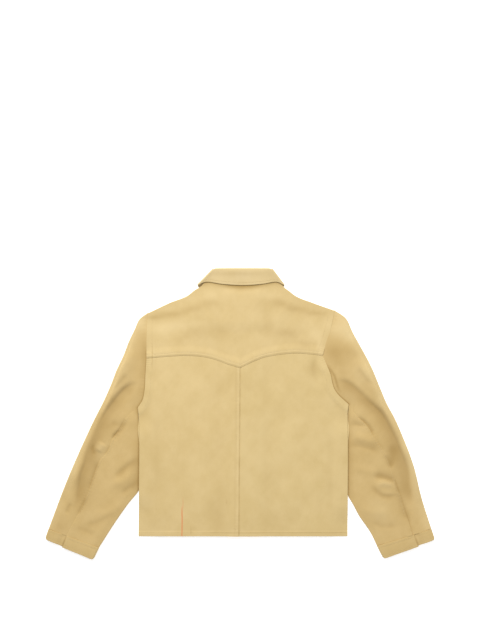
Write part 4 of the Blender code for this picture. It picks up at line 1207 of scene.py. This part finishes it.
def yoke_points():
    """The yoke: its lower seam, the armholes and the shoulders with the neckline between them, blended."""
    columns, up = closer_at_ends(150, 0.35), closer_at_start(96, 1.5)
    bottom = joined(along(YOKE_LEFT, columns), along(YOKE_RIGHT, columns))
    over = ARMHOLE_OVER * np.cos(up * np.pi / 2)[:, None] ** 0.5
    left, right = (shifted(along(half.upper, up), -half.inward * over) for half in HALVES)
    shoulder_left, shoulder_right = (evenly(half.shoulder, 110) for half in HALVES)
    top = joined(joined(shoulder_left, back_neckline(80)), shoulder_right)
    plan = coons(bottom, top, left, right, np.linspace(0, 1, 301), up)
    return with_height(plan, yoke_height(plan[..., 0], plan[..., 1]))


def back_points(half):
    """A back panel: the hem, the yoke's seam, the centre-back seam and the side with its armhole, blended,
    and a little more under the yoke. The right one also runs on under the left one's lapped edge."""
    across, up = closer_at_ends(112, 0.6), closer_at_ends(210, 0.72)
    side_left, side_right = side_edges(up, ARMHOLE_OVER)
    hem_centre = np.array([centre_x(HEM), HEM])
    if half is LEFT:
        bottom, top = along((side_left[0], hem_centre), across), along(YOKE_LEFT, across)
        edge_left, edge_right = side_left, hem_centre + up[:, None] * (YOKE_POINT - hem_centre)
    else:
        start = hem_centre - (LAP_WIDTH, 0.0)
        bottom, top = along((start, side_right[0]), across), along(YOKE_RIGHT, across)
        top[:, 0] -= LAP_WIDTH * (1.0 - across)
        edge_left, edge_right = start + up[:, None] * (top[0] - start), side_right
    plan = coons(bottom, top, edge_left, edge_right, across, up)
    under_yoke = np.linspace(0, 1, 6)[1:, None, None] * np.array([0.0, LAP_WIDTH])
    plan = np.concatenate([plan, plan[-1][None] + under_yoke])
    return with_height(plan, back_height(plan[..., 0], plan[..., 1], half))


def front_points(half):
    """A front: the hem, the shoulder, the buttoned edge with the neck, and the side with the armhole,
    blended. The side stands out a little below the armpit, where the sleeve covers it."""
    across, up = closer_at_ends(70, 0.6), closer_at_ends(150, 0.5)
    outer = joined(side_edges(np.linspace(0, 1, 101))[HALVES.index(half)], evenly(half.upper, 40))
    covered = eased(outer[:, 1], *FRONT_OUT_FROM) * (1.0 - eased(outer[:, 1], *FRONT_OUT_TO))
    outer[:, 0] -= half.inward * FRONT_OUT * covered
    neck, edge_x = np.array(FRONT_NECK) * (-half.inward, 1) + (CENTRE, 0.0), CENTRE + half.inward * OVERLAP
    straight = evenly(((edge_x, HEM), (edge_x, NECK_FRONT)), 120)
    opening = evenly(np.concatenate([[(edge_x, NECK_FRONT)], neck[1:]]), 40)
    outer, inner = along(outer, up), along(joined(straight, opening), up)
    hem = along((outer[0], inner[0]), across)
    if half is LEFT:
        plan = coons(hem, along(evenly(half.shoulder, 60), across), outer, inner, across, up)
    else:
        top = along(evenly(half.shoulder, 60)[::-1], across)
        plan = coons(hem[::-1], top[::-1], inner, outer, 1.0 - across[::-1], up)
    return with_height(plan, front_height(plan[..., 0], plan[..., 1], half))


def turned_points(back, front, outward, steps=COLLAR_TURN):
    """Points of a half turn from the upper layer to the lower, bulging outward by half their distance."""
    angle = np.linspace(0.0, np.pi, steps + 1)[1:-1, None]
    radius = (back[2] - front[2]) / 2
    return back + (1 - np.cos(angle)) / 2 * (front - back) + np.sin(angle) * radius * outward


def tip_shift(across, side):
    """The collar's tips lie a little narrower than drawn, and both to the left: how far, by their place."""
    return (TIP_LEAN + TIP_NARROW * side) * (across / FALL_BACK[-1][3]) ** 2


def collar_half(half):
    """From the middle of the back round to the front: points of the neck seam, of the seam between stand and
    fall and of the fall's edge, the way that faces out, and the radius of the fold's roll."""
    side = -half.inward
    place, middle = np.array([side, 1.0]), np.array([CENTRE, 0.0])

    def on_front(line, steps):
        plan = evenly(line, steps) * place + middle
        return np.column_stack([plan, front_height(plan[:, 0], plan[:, 1], half)])

    neck = back_neckline(6)[3:]
    neck[:, 0] = (neck[:, 0] - CENTRE) * side + CENTRE
    neck = np.column_stack([neck, body_height(neck[:, 0], neck[:, 1])])
    front = on_front((((-OVERLAP, NECK_FRONT),) + FRONT_NECK[1:])[::-1], FRONT_NECK_STEPS)
    fold_front = on_front(FOLD_FRONT, FRONT_NECK_STEPS)
    table = np.array(FALL_BACK)
    fold, edge = table[:, :3].copy(), table[:, 3:].copy()
    fold[:, 0] = fold[:, 0] * side + CENTRE
    edge[:, 0] = edge[:, 0] * side + CENTRE - tip_shift(edge[:, 0], side)
    edge[:, 2] += yoke_height(edge[:, 0], edge[:, 1]) + WALL
    edge_front = joined(evenly(LEAF_SIDE, 5), evenly(LEAF_END, 2))
    shift = tip_shift(edge_front[:, 0], side)
    edge_front = edge_front * place + middle
    edge_front[:, 0] -= shift
    edge_front = np.column_stack([edge_front, np.full(len(edge_front), FLOOR_LAYER)])
    down = edge[-1] - fold[-1]
    outward = unit(np.array([-down[1], down[0], 0.0]) * side)
    neck, fold, edge = (
        np.concatenate([back, turned_points(back[-1], ahead[0], outward), ahead])
        for back, ahead in ((neck, front), (fold, fold_front), (edge, edge_front))
    )
    backs, fronts = len(table), len(edge_front)
    turn = np.linspace(0.0, np.pi, COLLAR_TURN + 1)
    angle = np.concatenate([np.zeros(backs - 1), turn, np.full(fronts - 1, np.pi)])
    out = np.sin(angle)[:, None] * outward + np.cos(angle)[:, None] * np.array([0.0, 0.0, 1.0])
    front_roll = (fold[backs + COLLAR_TURN - 1:][:fronts, 2] - FLOOR_LAYER) / 2
    roll = np.interp(angle, (0.0, np.pi), (ROLL, front_roll[0]))
    roll[-fronts:] = front_roll
    return neck, fold, edge, out, roll


def collar_points():
    """The stand's and the fall's grids: the fall leaves the stand, rolls over it on a half circle and lies
    down to its edge."""
    stands, falls = [], []
    for half in HALVES:
        neck, fold, edge, out, roll = collar_half(half)
        beyond = fold - neck
        beyond[:, 2] = 0.0
        beyond = unit(beyond)
        shares = np.linspace(0.0, 1.0, 4)[:, None, None]
        stands.append((1 - shares) * (neck + STAND_FROM_NECK * beyond) + shares * fold)
        count = len(edge)
        fold, beyond, roll = fold[:count], beyond[:count], roll[:, None]
        rows = [fold + FALL_FROM_STAND * beyond]
        for turn in np.linspace(0.0, np.pi, COLLAR_TURN + 1):
            arc = np.sin(turn) * beyond + (1 - np.cos(turn)) * out
            rows.append(rows[0] + ROLL_START * beyond + roll * arc)
        over = rows[-1]
        rows += [(1 - share) * over + share * edge for share in (0.25, 0.5, 0.75, 0.92, 1.0)]
        falls.append(np.array(rows))
    stand, fall = (np.concatenate([left[:, ::-1], right[:, 1:]], axis=1) for left, right in (stands, falls))
    return refined(stand, 18, 260), refined(fall, 64, 300)


def sleeve_loft(x, y, share, half, armhole):
    """Mid-wall height of a sleeve's upper layer: the back's height at the armhole, then a soft loft with its
    folds, lower along both edges and low where it slips under the body's side. Also the share of that."""
    loft = SLEEVE_LOFT - HALF + fold_height(x, y, half.folds) + SLEEVE_UNEVEN * unevenness(x, y)
    under = 1.0 - eased((side_x(y, half.side) - x) * half.inward, *UNDER_SIDE)
    under = under * (1.0 - eased(-y, *UNDER_END)) * eased(-y, *UNDER_TOP)
    loft = loft * (1.0 - under) + (TUCK_HEIGHT - HALF) * under
    lowest = SECOND_LAYER + SEAM_GAP
    loft = lowest + SOFT_FLOOR * np.logaddexp(0.0, (loft - lowest) / SOFT_FLOOR - 0.6)
    ends = eased(share, 0.0, EDGE_SHARE) * eased(1.0 - share, 0.0, EDGE_SHARE)
    loft = lowest + (loft - lowest) * (EDGE_LOFT + (1.0 - EDGE_LOFT) * ends)
    away, run, _ = to_line(x, y, armhole)
    start = eased(away, 0.0, ARMHOLE_FADE)
    pulled = 0.6 * puckers(away - 0.008, run * ARMHOLE_LENGTH, 0.008)
    return body_height(x, y) * (1.0 - start) + loft * start + pulled, under


def half_round(at, high, way, angles, bulge=None):
    """Points of a half turn at each row's edge, from the upper layer (angle 0) to the one on the floor. With
    a bulge it is half an ellipse that stands out in plan by that much."""
    radius = ((high - FLOOR_LAYER) / 2)[:, None]
    out = radius if bulge is None else bulge[:, None]
    plan = at[:, None] + (np.sin(angles) * out)[..., None] * way[:, None]
    return np.dstack([plan, FLOOR_LAYER + radius * (1 + np.cos(angles))])


def sleeve_points(half):
    """A flattened tube as one grid, its rows from the shoulder to the cuff: round the fold at the underarm,
    over the top to the outer edge, round it, and back flat on the floor. Columns crowd at the lapped seam,
    where the side towards the body stands SLEEVE_LAP proud. Beside the armhole the two layers stay apart."""
    rows, armpit = SLEEVE_ROWS, ARMPIT_ROW
    row = np.arange(rows + 1)
    upper = shifted(evenly(half.upper, 40)[::-1], half.inward * SEAM_GAP)
    lower = shifted(evenly(half.lower, armpit), half.inward * SEAM_GAP)
    armhole = joined(upper[::5], lower[::10])
    lower[:, 0] -= half.inward * ARMPIT_EASE * eased(np.arange(armpit + 1), armpit * 0.8, armpit)
    down = np.interp(row, (0, armpit, rows), (0.0, ARMPIT_SHARE, 1.0))
    roll = EDGE_ROLL * eased(down, 0.0, SHOULDER_FADE)
    starts = shifted(along((upper[0],) + half.outer[1:], down), -half.inward * roll[:, None])
    ends = joined(lower, evenly((lower[-1],) + half.inner[1:], rows - armpit))
    width = np.linalg.norm(ends - starts, axis=1)
    way = (ends - starts) / width[:, None]

    from_start = evenly(half.seam, 60)[:, None] - starts[None]
    off = np.abs(np.einsum("rk,srk->sr", np.stack([-way[:, 1], way[:, 0]], 1), from_start))
    seam_share = np.einsum("rk,srk->sr", way, from_start)[off.argmin(axis=0), row] / width
    seam_share[: armpit + 1] = 1.0
    seam_share = np.minimum(seam_share, 1.0 - SEAM_TO_EDGE / width)
    lapped = eased(row, armpit - 2, armpit + LAP_ROWS)
    lapped = lapped * np.interp((row - armpit) / (rows - armpit), *np.array(half.shows).T)
    band = seam_share[:, None] + np.array(SEAM_COLUMNS) / width[:, None]
    inner_part = 1.0 + np.linspace(0.0, 1.0, INNER_COLUMNS + 1)[None, :-1] * (band[:, :1] - 1.0)
    outer_part = band[:, -1:] * (1.0 - np.linspace(0.0, 1.0, OUTER_COLUMNS + 1)[None, 1:])
    shares = np.concatenate([inner_part, band, outer_part], axis=1)

    bow = upper - np.linspace(upper[0], upper[-1], len(upper))
    knots = np.linspace(0.0, 1.0, len(upper))
    bend = np.stack([np.interp(shares, knots, bow[:, axis]) for axis in (0, 1)], axis=2)
    fade = 1.0 - eased(row, 0.0, armpit)
    top = starts[:, None] + shares[..., None] * (ends - starts)[:, None] + fade[:, None, None] * bend
    height, under = sleeve_loft(top[..., 0], top[..., 1], shares, half, armhole)
    beyond = (shares - seam_share[:, None]) * width[:, None]
    slit = eased(row, rows * (1 - SLIT_TOP / SLEEVE_LENGTH) - 4, rows * (1 - SLIT_TOP / SLEEVE_LENGTH) + 4)
    step = (SLEEVE_LAP + SLIT_RISE * slit)[:, None] * eased(beyond, *LAP_STEP)
    step = step * (1.0 - eased(beyond, *LAP_OUT))
    dip = -LAP_DIP * bell(np.minimum(beyond, 0.0), LAP_DIP_WIDTH) * (beyond < LAP_DIP_END)
    stitched = 0.8 * groove(beyond, SLEEVE_STITCH) * (1.0 - slit[:, None])
    pulled = 1.2 * puckers(beyond, row[:, None] * ROW_LENGTH, WIDE_PUCKER) * (1.0 - slit[:, None])
    height = height + lapped[:, None] * (step + dip + stitched + pulled) * (1.0 - under)

    half_turn = np.linspace(0.0, np.pi / 2, UNDER_COLUMNS + 1)
    outer_turn = np.linspace(0.0, np.pi, 2 * UNDER_COLUMNS + 1)[1:-1]
    over = half_round(ends, height[:, 0], way, half_turn[::-1])[:, :-1]
    below = half_round(ends, height[:, 0], way, np.pi - half_turn)[:, 1:]
    tiny = LAYER_STEP * np.arange(UNDER_COLUMNS, 0, -1)[None, :, None] * way[:armpit, None]
    over[:armpit, :, :2] = ends[:armpit, None] + tiny
    over[:armpit, :, 2] = height[:armpit, :1]
    below[:armpit, :, :2] = ends[:armpit, None] + tiny[:, ::-1]
    below[:armpit, :, 2] = FLOOR_LAYER
    edge = half_round(starts, height[:, -1], -way, outer_turn, np.maximum(roll - HALF, LEAST_BULGE))
    bottom = top[:, ::-2]
    bottom = with_height(bottom, np.full(bottom.shape[:2], FLOOR_LAYER))
    return np.concatenate([over, with_height(top, height), edge, bottom, below], axis=1)


def cuff_points(half):
    """A band round the sleeve's end as one open grid, its two ends lying one on the other where the sleeve is
    slit: shares across the sleeve and heights along the band's length, refined to a smooth path. Also the
    number of the first column of the upper end."""
    (seam_outer, seam_inner), (end_outer, end_inner) = np.array([half.cuff_seam, half.cuff_end])
    lap = half.cuff_lap
    low, high = CUFF_WALL / 2, CUFF_HEIGHT - CUFF_WALL / 2
    under = high - CUFF_WALL - SEAM_GAP
    radius = (high - low) / 2
    width = np.linalg.norm(seam_inner - seam_outer)
    angles = np.linspace(0.0, np.pi, 13)
    bulge, fall = np.sin(angles) * radius / width, low + radius * (1 + np.cos(angles))
    covered = np.linspace(lap + CUFF_OVERLAP, lap - 0.06, 18)
    rise_from = lap - 0.07
    rise = np.linspace(rise_from, CUFF_FLAT, 20)
    flat = np.linspace(CUFF_FLAT, 1.0 - CUFF_FLAT, 34)
    cover = np.linspace(1.0 - CUFF_FLAT, lap, 44)
    shares = np.concatenate([covered, rise, -bulge, flat, 1.0 + bulge, cover])
    heights = np.concatenate([
        np.full(len(covered), under), under + (high - under) * eased(rise_from - rise, 0.0, 0.11), fall,
        np.full(len(flat), low), fall[::-1], np.full(len(cover), high),
    ])
    rows = closer_at_ends(22, 0.5)
    inside = np.clip(np.minimum(shares, 1.0 - shares) * width + radius, 0.0, CUFF_CORNER)
    corner = CUFF_CORNER - np.sqrt(CUFF_CORNER**2 - (CUFF_CORNER - inside) ** 2)
    stagger = np.zeros(len(shares))
    stagger[-len(cover):] = CUFF_STAGGER * eased(-cover, -0.9, -lap)
    stagger[:len(covered)] = -0.4 * CUFF_STAGGER
    stagger[len(covered):len(covered) + len(rise)] = -0.4 * CUFF_STAGGER * eased(rise, 0.05, rise_from)
    length = np.linalg.norm(end_outer - seam_outer)
    seam_line = seam_outer + shares[:, None] * (seam_inner - seam_outer)
    end_line = end_outer + shares[:, None] * (end_inner - end_outer)
    end_line = end_line + ((stagger - corner) / length)[:, None] * (end_line - seam_line)
    plan = (1 - rows)[:, None, None] * seam_line + rows[:, None, None] * end_line
    depth = rows[:, None] * length
    dent = groove(depth, CUFF_STITCH) + groove(length - depth, CUFF_STITCH)
    crest = CUFF_CREST * np.sin(np.pi * rows)[:, None]
    height = heights[None] + np.where((heights > (low + high) / 2)[None, :], dent + crest, 0.0)
    return with_height(plan, height), len(shares) - len(cover)


def grid_run(points, wall, rows, columns):
    """Points and normals on the upper surface of a grid of mid-wall points, along one row or column of it."""
    normal = facing(points)
    normal = normal * np.sign(normal[rows, columns, 2].mean())
    return (points + normal * wall / 2)[rows, columns], normal[rows, columns]


def plan_run(x, y, height):
    """Points and upward normals on a surface above a plan curve."""
    points = np.column_stack([x, y, height + HALF])
    return points, np.broadcast_to([0.0, 0.0, 1.0], points.shape)


def downward_run(x, y, height):
    """Points and downward normals on the underside of a layer that is above a plan curve."""
    points = np.column_stack([x, np.broadcast_to(y, x.shape), np.broadcast_to(height, x.shape)])
    return points, np.broadcast_to([0.0, 0.0, -1.0], points.shape)


def turned_button(name, x, y, horn, node):
    """A horn button, its face down on the surface: its profile, as shares of radius and thickness, carried
    round its axis, and both small holes at the axis closed."""
    out, up = np.array(BUTTON_PROFILE).T
    rows, ring = len(out), 48
    turn = np.linspace(0.0, 2 * np.pi, ring + 1)[:-1]
    across = BUTTON_RADIUS * out[:, None]
    level = np.repeat(BUTTON_THICKNESS * (1.0 - up)[:, None], ring, 1)
    points = np.dstack([x + across * np.cos(turn), y + across * np.sin(turn), level]).reshape(-1, 3)
    index = np.arange(rows * ring).reshape(rows, ring)
    ahead = np.roll(index, -1, axis=1)
    quads = np.stack([ahead[:-1], index[:-1], index[1:], ahead[1:]], -1).reshape(-1, 4)
    first, last = index[0], index[-1]
    centres = np.full((2, ring // 2), rows * ring) + [[0], [1]]
    cap_back = np.stack([first[::2], np.roll(first, -1)[::2], np.roll(first, -2)[::2], centres[0]], -1)
    cap_face = np.stack([np.roll(last, -2)[::2], np.roll(last, -1)[::2], last[::2], centres[1]], -1)
    vertices = np.concatenate([points, [(x, y, level[0, 0]), (x, y, level[-1, 0])]])
    piece = mesh_object(name, vertices, np.concatenate([quads, cap_back, cap_face]), horn)
    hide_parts(node)
    return piece


# ---------------------------------------------------------------- settings and operators
class JacketSettings(bpy.types.PropertyGroup):
    """Sizes, colours and finish of the jacket."""

    leather: bpy.props.FloatProperty(
        name="Leather", description="Thickness of the suede",
        default=WALL, min=0.001, max=0.003, unit="LENGTH",
    )
    fold_depth: bpy.props.FloatProperty(
        name="Fold depth", description="How deep the folds are, 1 as they lie here",
        default=1.0, min=0.0, max=1.5,
    )
    stitch_length: bpy.props.FloatProperty(
        name="Stitch", description="Length of one stitch",
        default=0.0030, min=0.001, max=0.01, unit="LENGTH",
    )
    stitch_gap: bpy.props.FloatProperty(
        name="Stitch gap", description="Leather between two stitches",
        default=0.0008, min=0.0, max=0.01, unit="LENGTH",
    )
    thread: bpy.props.FloatProperty(
        name="Thread", description="Thickness of the sewing thread",
        default=0.00055, min=0.0002, max=0.002, unit="LENGTH",
    )
    nap_height: bpy.props.FloatProperty(
        name="Nap height", description="Height of the suede's nap",
        default=0.00035, min=0.0, max=0.002, unit="LENGTH",
    )
    sheen: bpy.props.FloatProperty(
        name="Sheen", description="Soft light that the nap catches at a low angle",
        default=0.15, min=0.0, max=1.0, subtype="FACTOR",
    )
    suede: bpy.props.FloatVectorProperty(
        name="Suede", description="Colour of the suede",
        default=(0.615, 0.462, 0.216), size=3, min=0.0, max=1.0, subtype="COLOR",
    )
    mark: bpy.props.FloatVectorProperty(
        name="Vein", description="Colour of the hide's rust-coloured vein",
        default=(0.66, 0.20, 0.075), size=3, min=0.0, max=1.0, subtype="COLOR",
    )
    thread_colour: bpy.props.FloatVectorProperty(
        name="Thread colour", description="Colour of the sewing thread",
        default=(0.64, 0.49, 0.24), size=3, min=0.0, max=1.0, subtype="COLOR",
    )
    horn: bpy.props.FloatVectorProperty(
        name="Horn", description="Colour of the buttons",
        default=(0.30, 0.17, 0.08), size=3, min=0.0, max=1.0, subtype="COLOR",
    )
    surface: bpy.props.FloatVectorProperty(
        name="Surface", description="Colour of the pale surface it lies on",
        default=(0.93, 0.93, 0.93), size=3, min=0.0, max=1.0, subtype="COLOR",
    )
    glow: bpy.props.FloatProperty(
        name="Glow", description="Light that the surface gives, as a light table does",
        default=0.45, min=0.0, max=5.0,
    )
    light: bpy.props.FloatProperty(
        name="Light", description="Power of the large soft light above",
        default=205.0, min=0.0, max=1000.0, unit="POWER",
    )
    sky: bpy.props.FloatProperty(
        name="Ambient light", description="Strength of the even white light from all round",
        default=0.50, min=0.0, max=5.0,
    )


class JACKET_OT_back(bpy.types.Operator):
    """The pointed yoke and the two back panels, with the lapped seams between them"""

    bl_idname = "jacket.back"
    bl_label = "Yoke and Back"

    def execute(self, context):
        wall = context.scene.jacket.leather
        points = yoke_points()
        x, y = points[..., 0], points[..., 1]
        above = y - yoke_seam_y(x)
        thin = pared(wall, above, PARED)
        points[..., 2] -= (wall - thin) / 2
        leather(
            "yoke", points, thin, suede("suede_yoke", (1.0, 1.0, 1.01), 0.5), "back_yoke", "suede_back_yoke",
            tones(points, SHADE_BANDS_YOKE, collar_shade(x, y), paler_line(above)),
            ["back_left", "back_right", "front_left", "front_right"],
        )
        points = back_points(LEFT)
        x, y = points[..., 0], points[..., 1]
        thin = pared(wall, centre_x(y) - x, PARED_BACK)
        points[..., 2] -= (wall - thin) / 2
        leather(
            "back_panel_left", points, thin, suede("suede_back_left", (1.0, 1.0, 1.0), 0.12, marked=True),
            "back_left", "suede_back_left", tones(points, more=seam_shade(x, y), lighter=seam_light(x, y)),
            ["front_left", "sleeve_left"],
        )
        points = back_points(RIGHT)
        leather(
            "back_panel_right", points, wall, suede("suede_back_right", (0.99, 0.995, 0.99), -0.15),
            "back_right", "suede_back_right", tones(points, more=seam_shade(points[..., 0], points[..., 1])),
            ["front_right", "sleeve_right"],
        )
        return {"FINISHED"}


class JACKET_OT_fronts(bpy.types.Operator):
    """The two fronts underneath, the left one lapped over the right one at the buttons"""

    bl_idname = "jacket.fronts"
    bl_label = "Fronts"

    def execute(self, context):
        wall = context.scene.jacket.leather
        for half, angle in ((LEFT, 0.1), (RIGHT, -0.2)):
            points = front_points(half)
            leather(
                f"front_panel_{half.word}", points, wall,
                suede(f"suede_front_{half.word}", (0.98, 0.98, 0.97), angle),
                f"front_{half.word}", f"suede_front_{half.word}", tones(points), ["surface"],
            )
        return {"FINISHED"}


class JACKET_OT_collar(bpy.types.Operator):
    """The collar: a stand round the neck and the fall that turns down over it"""

    bl_idname = "jacket.collar"
    bl_label = "Collar"

    def execute(self, context):
        wall = context.scene.jacket.leather
        stand, fall = collar_points()
        finish = suede("suede_collar", (1.0, 1.03, 1.15), 1.2)
        leather(
            "collar_stand_band", stand, wall, finish, "collar_stand", "suede_collar_stand", tones(stand),
            ["back_yoke"],
        )
        leather(
            "collar_leaf", fall, wall, finish, "collar_fall", "suede_collar_fall", tones(fall),
            ["back_yoke", "collar_stand"],
        )
        return {"FINISHED"}


class JACKET_OT_sleeves(bpy.types.Operator):
    """The two sleeves, with their folds, lapped seam and the slit above the cuff"""

    bl_idname = "jacket.sleeves"
    bl_label = "Sleeves"

    def execute(self, context):
        wall = context.scene.jacket.leather
        for half in HALVES:
            points = sleeve_points(half)
            ditch, rim = sleeve_shades(points, half)
            leather(
                f"sleeve_{half.word}_leather", points, wall,
                suede(f"suede_sleeve_{half.word}", (0.915, 0.87, 0.80), 0.45 * half.inward),
                f"sleeve_{half.word}", f"suede_sleeve_{half.word}", tones(points, half.folds, ditch, rim),
                [f"front_{half.word}"],
            )
        return {"FINISHED"}


class JACKET_OT_cuffs(bpy.types.Operator):
    """The cuffs: a doubled band each, its ends lapped over each other at the slit"""

    bl_idname = "jacket.cuffs"
    bl_label = "Cuffs"

    def execute(self, context):
        for half in HALVES:
            points, _ = cuff_points(half)
            leather(
                f"cuff_{half.word}_band", points, CUFF_WALL,
                suede(f"suede_cuff_{half.word}", (0.90, 0.865, 0.80), 1.1), f"cuff_{half.word}",
                f"suede_cuff_{half.word}", tones(points, more=cuff_shade(points, half)),
                [f"sleeve_{half.word}"],
            )
        return {"FINISHED"}


class JACKET_OT_stitching(bpy.types.Operator):
    """The rows of topstitching along the seams, the hem, the collar and the cuffs"""

    bl_idname = "jacket.stitching"
    bl_label = "Stitching"

    def execute(self, context):
        wall = context.scene.jacket.leather
        thread = thread_finish()
        x = np.linspace(-0.230, 0.205, 260)
        y = yoke_seam_y(x) + STITCH_FROM_EDGE
        stitches("yoke_stitching", [plan_run(x, y, yoke_height(x, y))], thread)
        y = np.linspace(HEM + HEM_BAND, YOKE_POINT[1] - 0.0025, 260)
        x = centre_x(y) - STITCH_FROM_EDGE
        stitches("centre_back_stitching", [plan_run(x, y, back_height(x, y, LEFT))], thread)
        hem, armholes, sleeves, cuffs = [], [], [], []
        for half, outer in ((LEFT, -0.268), (RIGHT, 0.284)):
            x = np.linspace(*sorted((outer, centre_x(HEM) - 0.001 * half.inward)), 160)
            y = np.full(160, HEM + HEM_BAND)
            hem.append(plan_run(x, y, back_height(x, y, half)))
            inward = half.inward * ARMHOLE_BAND
            x, y = shifted(evenly(half.upper, 80), inward)[2:-8].T
            armholes.append(plan_run(x, y, yoke_height(x, y)))
            line = shifted(evenly(half.lower, 80), -inward)[6:-8]
            x, y = line[line[:, 1] < yoke_seam_y(line[:, 0]) - 0.001].T
            armholes.append(plan_run(x, y, back_height(x, y, half)))
            sleeves.append(grid_run(sleeve_points(half), wall, SLEEVE_STITCH_ROWS, STITCH_COLUMN))
            grid, first = cuff_points(half)
            depth = np.linalg.norm(grid[:, first] - grid[0, first], axis=1)
            for place in (CUFF_STITCH, depth[-1] - CUFF_STITCH):
                row = int(np.argmin(np.abs(depth - place)))
                cuffs.append(grid_run(grid, CUFF_WALL, row, slice(first, CUFF_END_COLUMN + 1)))
            cuffs.append(grid_run(grid, CUFF_WALL, CUFF_END_ROWS, CUFF_END_COLUMN))
        stitches("hem_stitching", hem, thread)
        stitches("armhole_stitching", armholes, thread)
        _, fall = collar_points()
        gap = np.linalg.norm(np.diff(fall, axis=0), axis=2)
        row = int(np.argmin(np.abs(gap[::-1].cumsum(axis=0)[:, COLLAR_MIDDLE_COLUMN] - COLLAR_STITCH)))
        stitches("collar_stitching", [plan_run(*fall[-2 - row, COLLAR_STITCH_COLUMNS].T)], thread)
        stitches("sleeve_stitching", sleeves, thread)
        stitches("cuff_stitching", cuffs, thread)
        return {"FINISHED"}


class JACKET_OT_buttons(bpy.types.Operator):
    """The horn buttons of the front and the collar, their thread, and the buttonholes' stitched edges"""

    bl_idname = "jacket.buttons"
    bl_label = "Buttons"

    def execute(self, context):
        horn, thread = horn_finish(), thread_finish()
        sewn, holes = [], []
        for node in [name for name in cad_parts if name.startswith("button")]:
            low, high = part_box(node)
            x, y = (low[0] + high[0]) / 2, (low[1] + high[1]) / 2
            turned_button(node + "_horn", x, y, horn, node)
            along_x = x + np.linspace(-BUTTON_THREAD, BUTTON_THREAD, 5)
            for off in (-BUTTON_THREAD, BUTTON_THREAD):
                sewn.append(downward_run(along_x, y + off, BUTTON_THICKNESS * (1.0 - BUTTON_DISH)))
            if node.startswith("button_front"):
                along_x = x + np.linspace(-BUTTONHOLE, BUTTONHOLE, 41)
                for at_y in (y - BUTTONHOLE_EDGE, y + BUTTONHOLE_EDGE):
                    holes.append(downward_run(along_x, at_y, front_height(along_x, at_y, LEFT) - HALF))
        stitches("button_thread", sewn, thread)
        stitches("buttonhole_stitching", holes, thread)
        return {"FINISHED"}


class JACKET_OT_stage(bpy.types.Operator):
    """The pale surface, the soft light and the camera straight above"""

    bl_idname = "jacket.stage"
    bl_label = "Surface, Light and Camera"

    def execute(self, context):
        scene, settings = context.scene, context.scene.jacket
        reach = SURFACE_HALF
        corners = [(-reach, -reach, 0.0), (reach, -reach, 0.0), (reach, reach, 0.0), (-reach, reach, 0.0)]
        mesh = bpy.data.meshes.new("surface")
        mesh.from_pydata(corners, [], [(0, 1, 2, 3)])
        mesh.materials.append(paper_finish())
        surface = bpy.data.objects.new("surface", mesh)
        scene.collection.objects.link(surface)
        for name, place, size, share in LIGHTS:
            lamp = bpy.data.lights.new(name, "AREA")
            lamp.size = size
            lamp.energy = settings.light * share
            light = bpy.data.objects.new(name, lamp)
            light.location = place
            x, y, z = place
            light.rotation_euler = (np.arccos(z / np.linalg.norm(place)), 0.0, np.arctan2(x, -y))
            scene.collection.objects.link(light)
        world = bpy.data.worlds.new("even_light")
        world.use_nodes = True
        background = world.node_tree.nodes["Background"].inputs
        background["Color"].default_value = (1.0, 1.0, 1.0, 1.0)
        background["Strength"].default_value = settings.sky
        scene.world = world
        scene.view_settings.view_transform = "Standard"
        camera = bpy.data.cameras.new("camera")
        camera.sensor_width = SENSOR
        camera.lens = SENSOR * (CAMERA_HEIGHT - SHARP_HEIGHT) / VIEW_HEIGHT
        camera.clip_start, camera.clip_end = 0.1, 20.0
        eye = bpy.data.objects.new("camera", camera)
        eye.location = (0.0, VIEW_MIDDLE, CAMERA_HEIGHT)
        scene.collection.objects.link(eye)
        scene.camera = eye
        return {"FINISHED"}


class JACKET_PT_panel(bpy.types.Panel):
    """Builds the jacket piece by piece"""

    bl_idname = "JACKET_PT_panel"
    bl_label = "Suede Jacket"
    bl_space_type = "VIEW_3D"
    bl_region_type = "UI"
    bl_category = "Jacket"

    def draw(self, context):
        settings = context.scene.jacket
        for name in JacketSettings.__annotations__:
            self.layout.prop(settings, name)
        for operator in OPERATORS:
            self.layout.operator(operator.bl_idname)


OPERATORS = (
    JACKET_OT_stage, JACKET_OT_back, JACKET_OT_fronts, JACKET_OT_collar, JACKET_OT_sleeves, JACKET_OT_cuffs,
    JACKET_OT_stitching, JACKET_OT_buttons,
)


def register():
    bpy.utils.register_class(JacketSettings)
    bpy.types.Scene.jacket = bpy.props.PointerProperty(type=JacketSettings)
    for operator in OPERATORS:
        bpy.utils.register_class(operator)
    bpy.utils.register_class(JACKET_PT_panel)


def unregister():
    bpy.utils.unregister_class(JACKET_PT_panel)
    for operator in reversed(OPERATORS):
        bpy.utils.unregister_class(operator)
    del bpy.types.Scene.jacket
    bpy.utils.unregister_class(JacketSettings)


def main():
    register()
    bpy.ops.jacket.stage()
    bpy.ops.jacket.back()
    bpy.ops.jacket.fronts()
    bpy.ops.jacket.collar()
    bpy.ops.jacket.sleeves()
    bpy.ops.jacket.cuffs()
    bpy.ops.jacket.stitching()
    bpy.ops.jacket.buttons()
    bpy.context.view_layer.update()


if __name__ == "__main__":
    main()
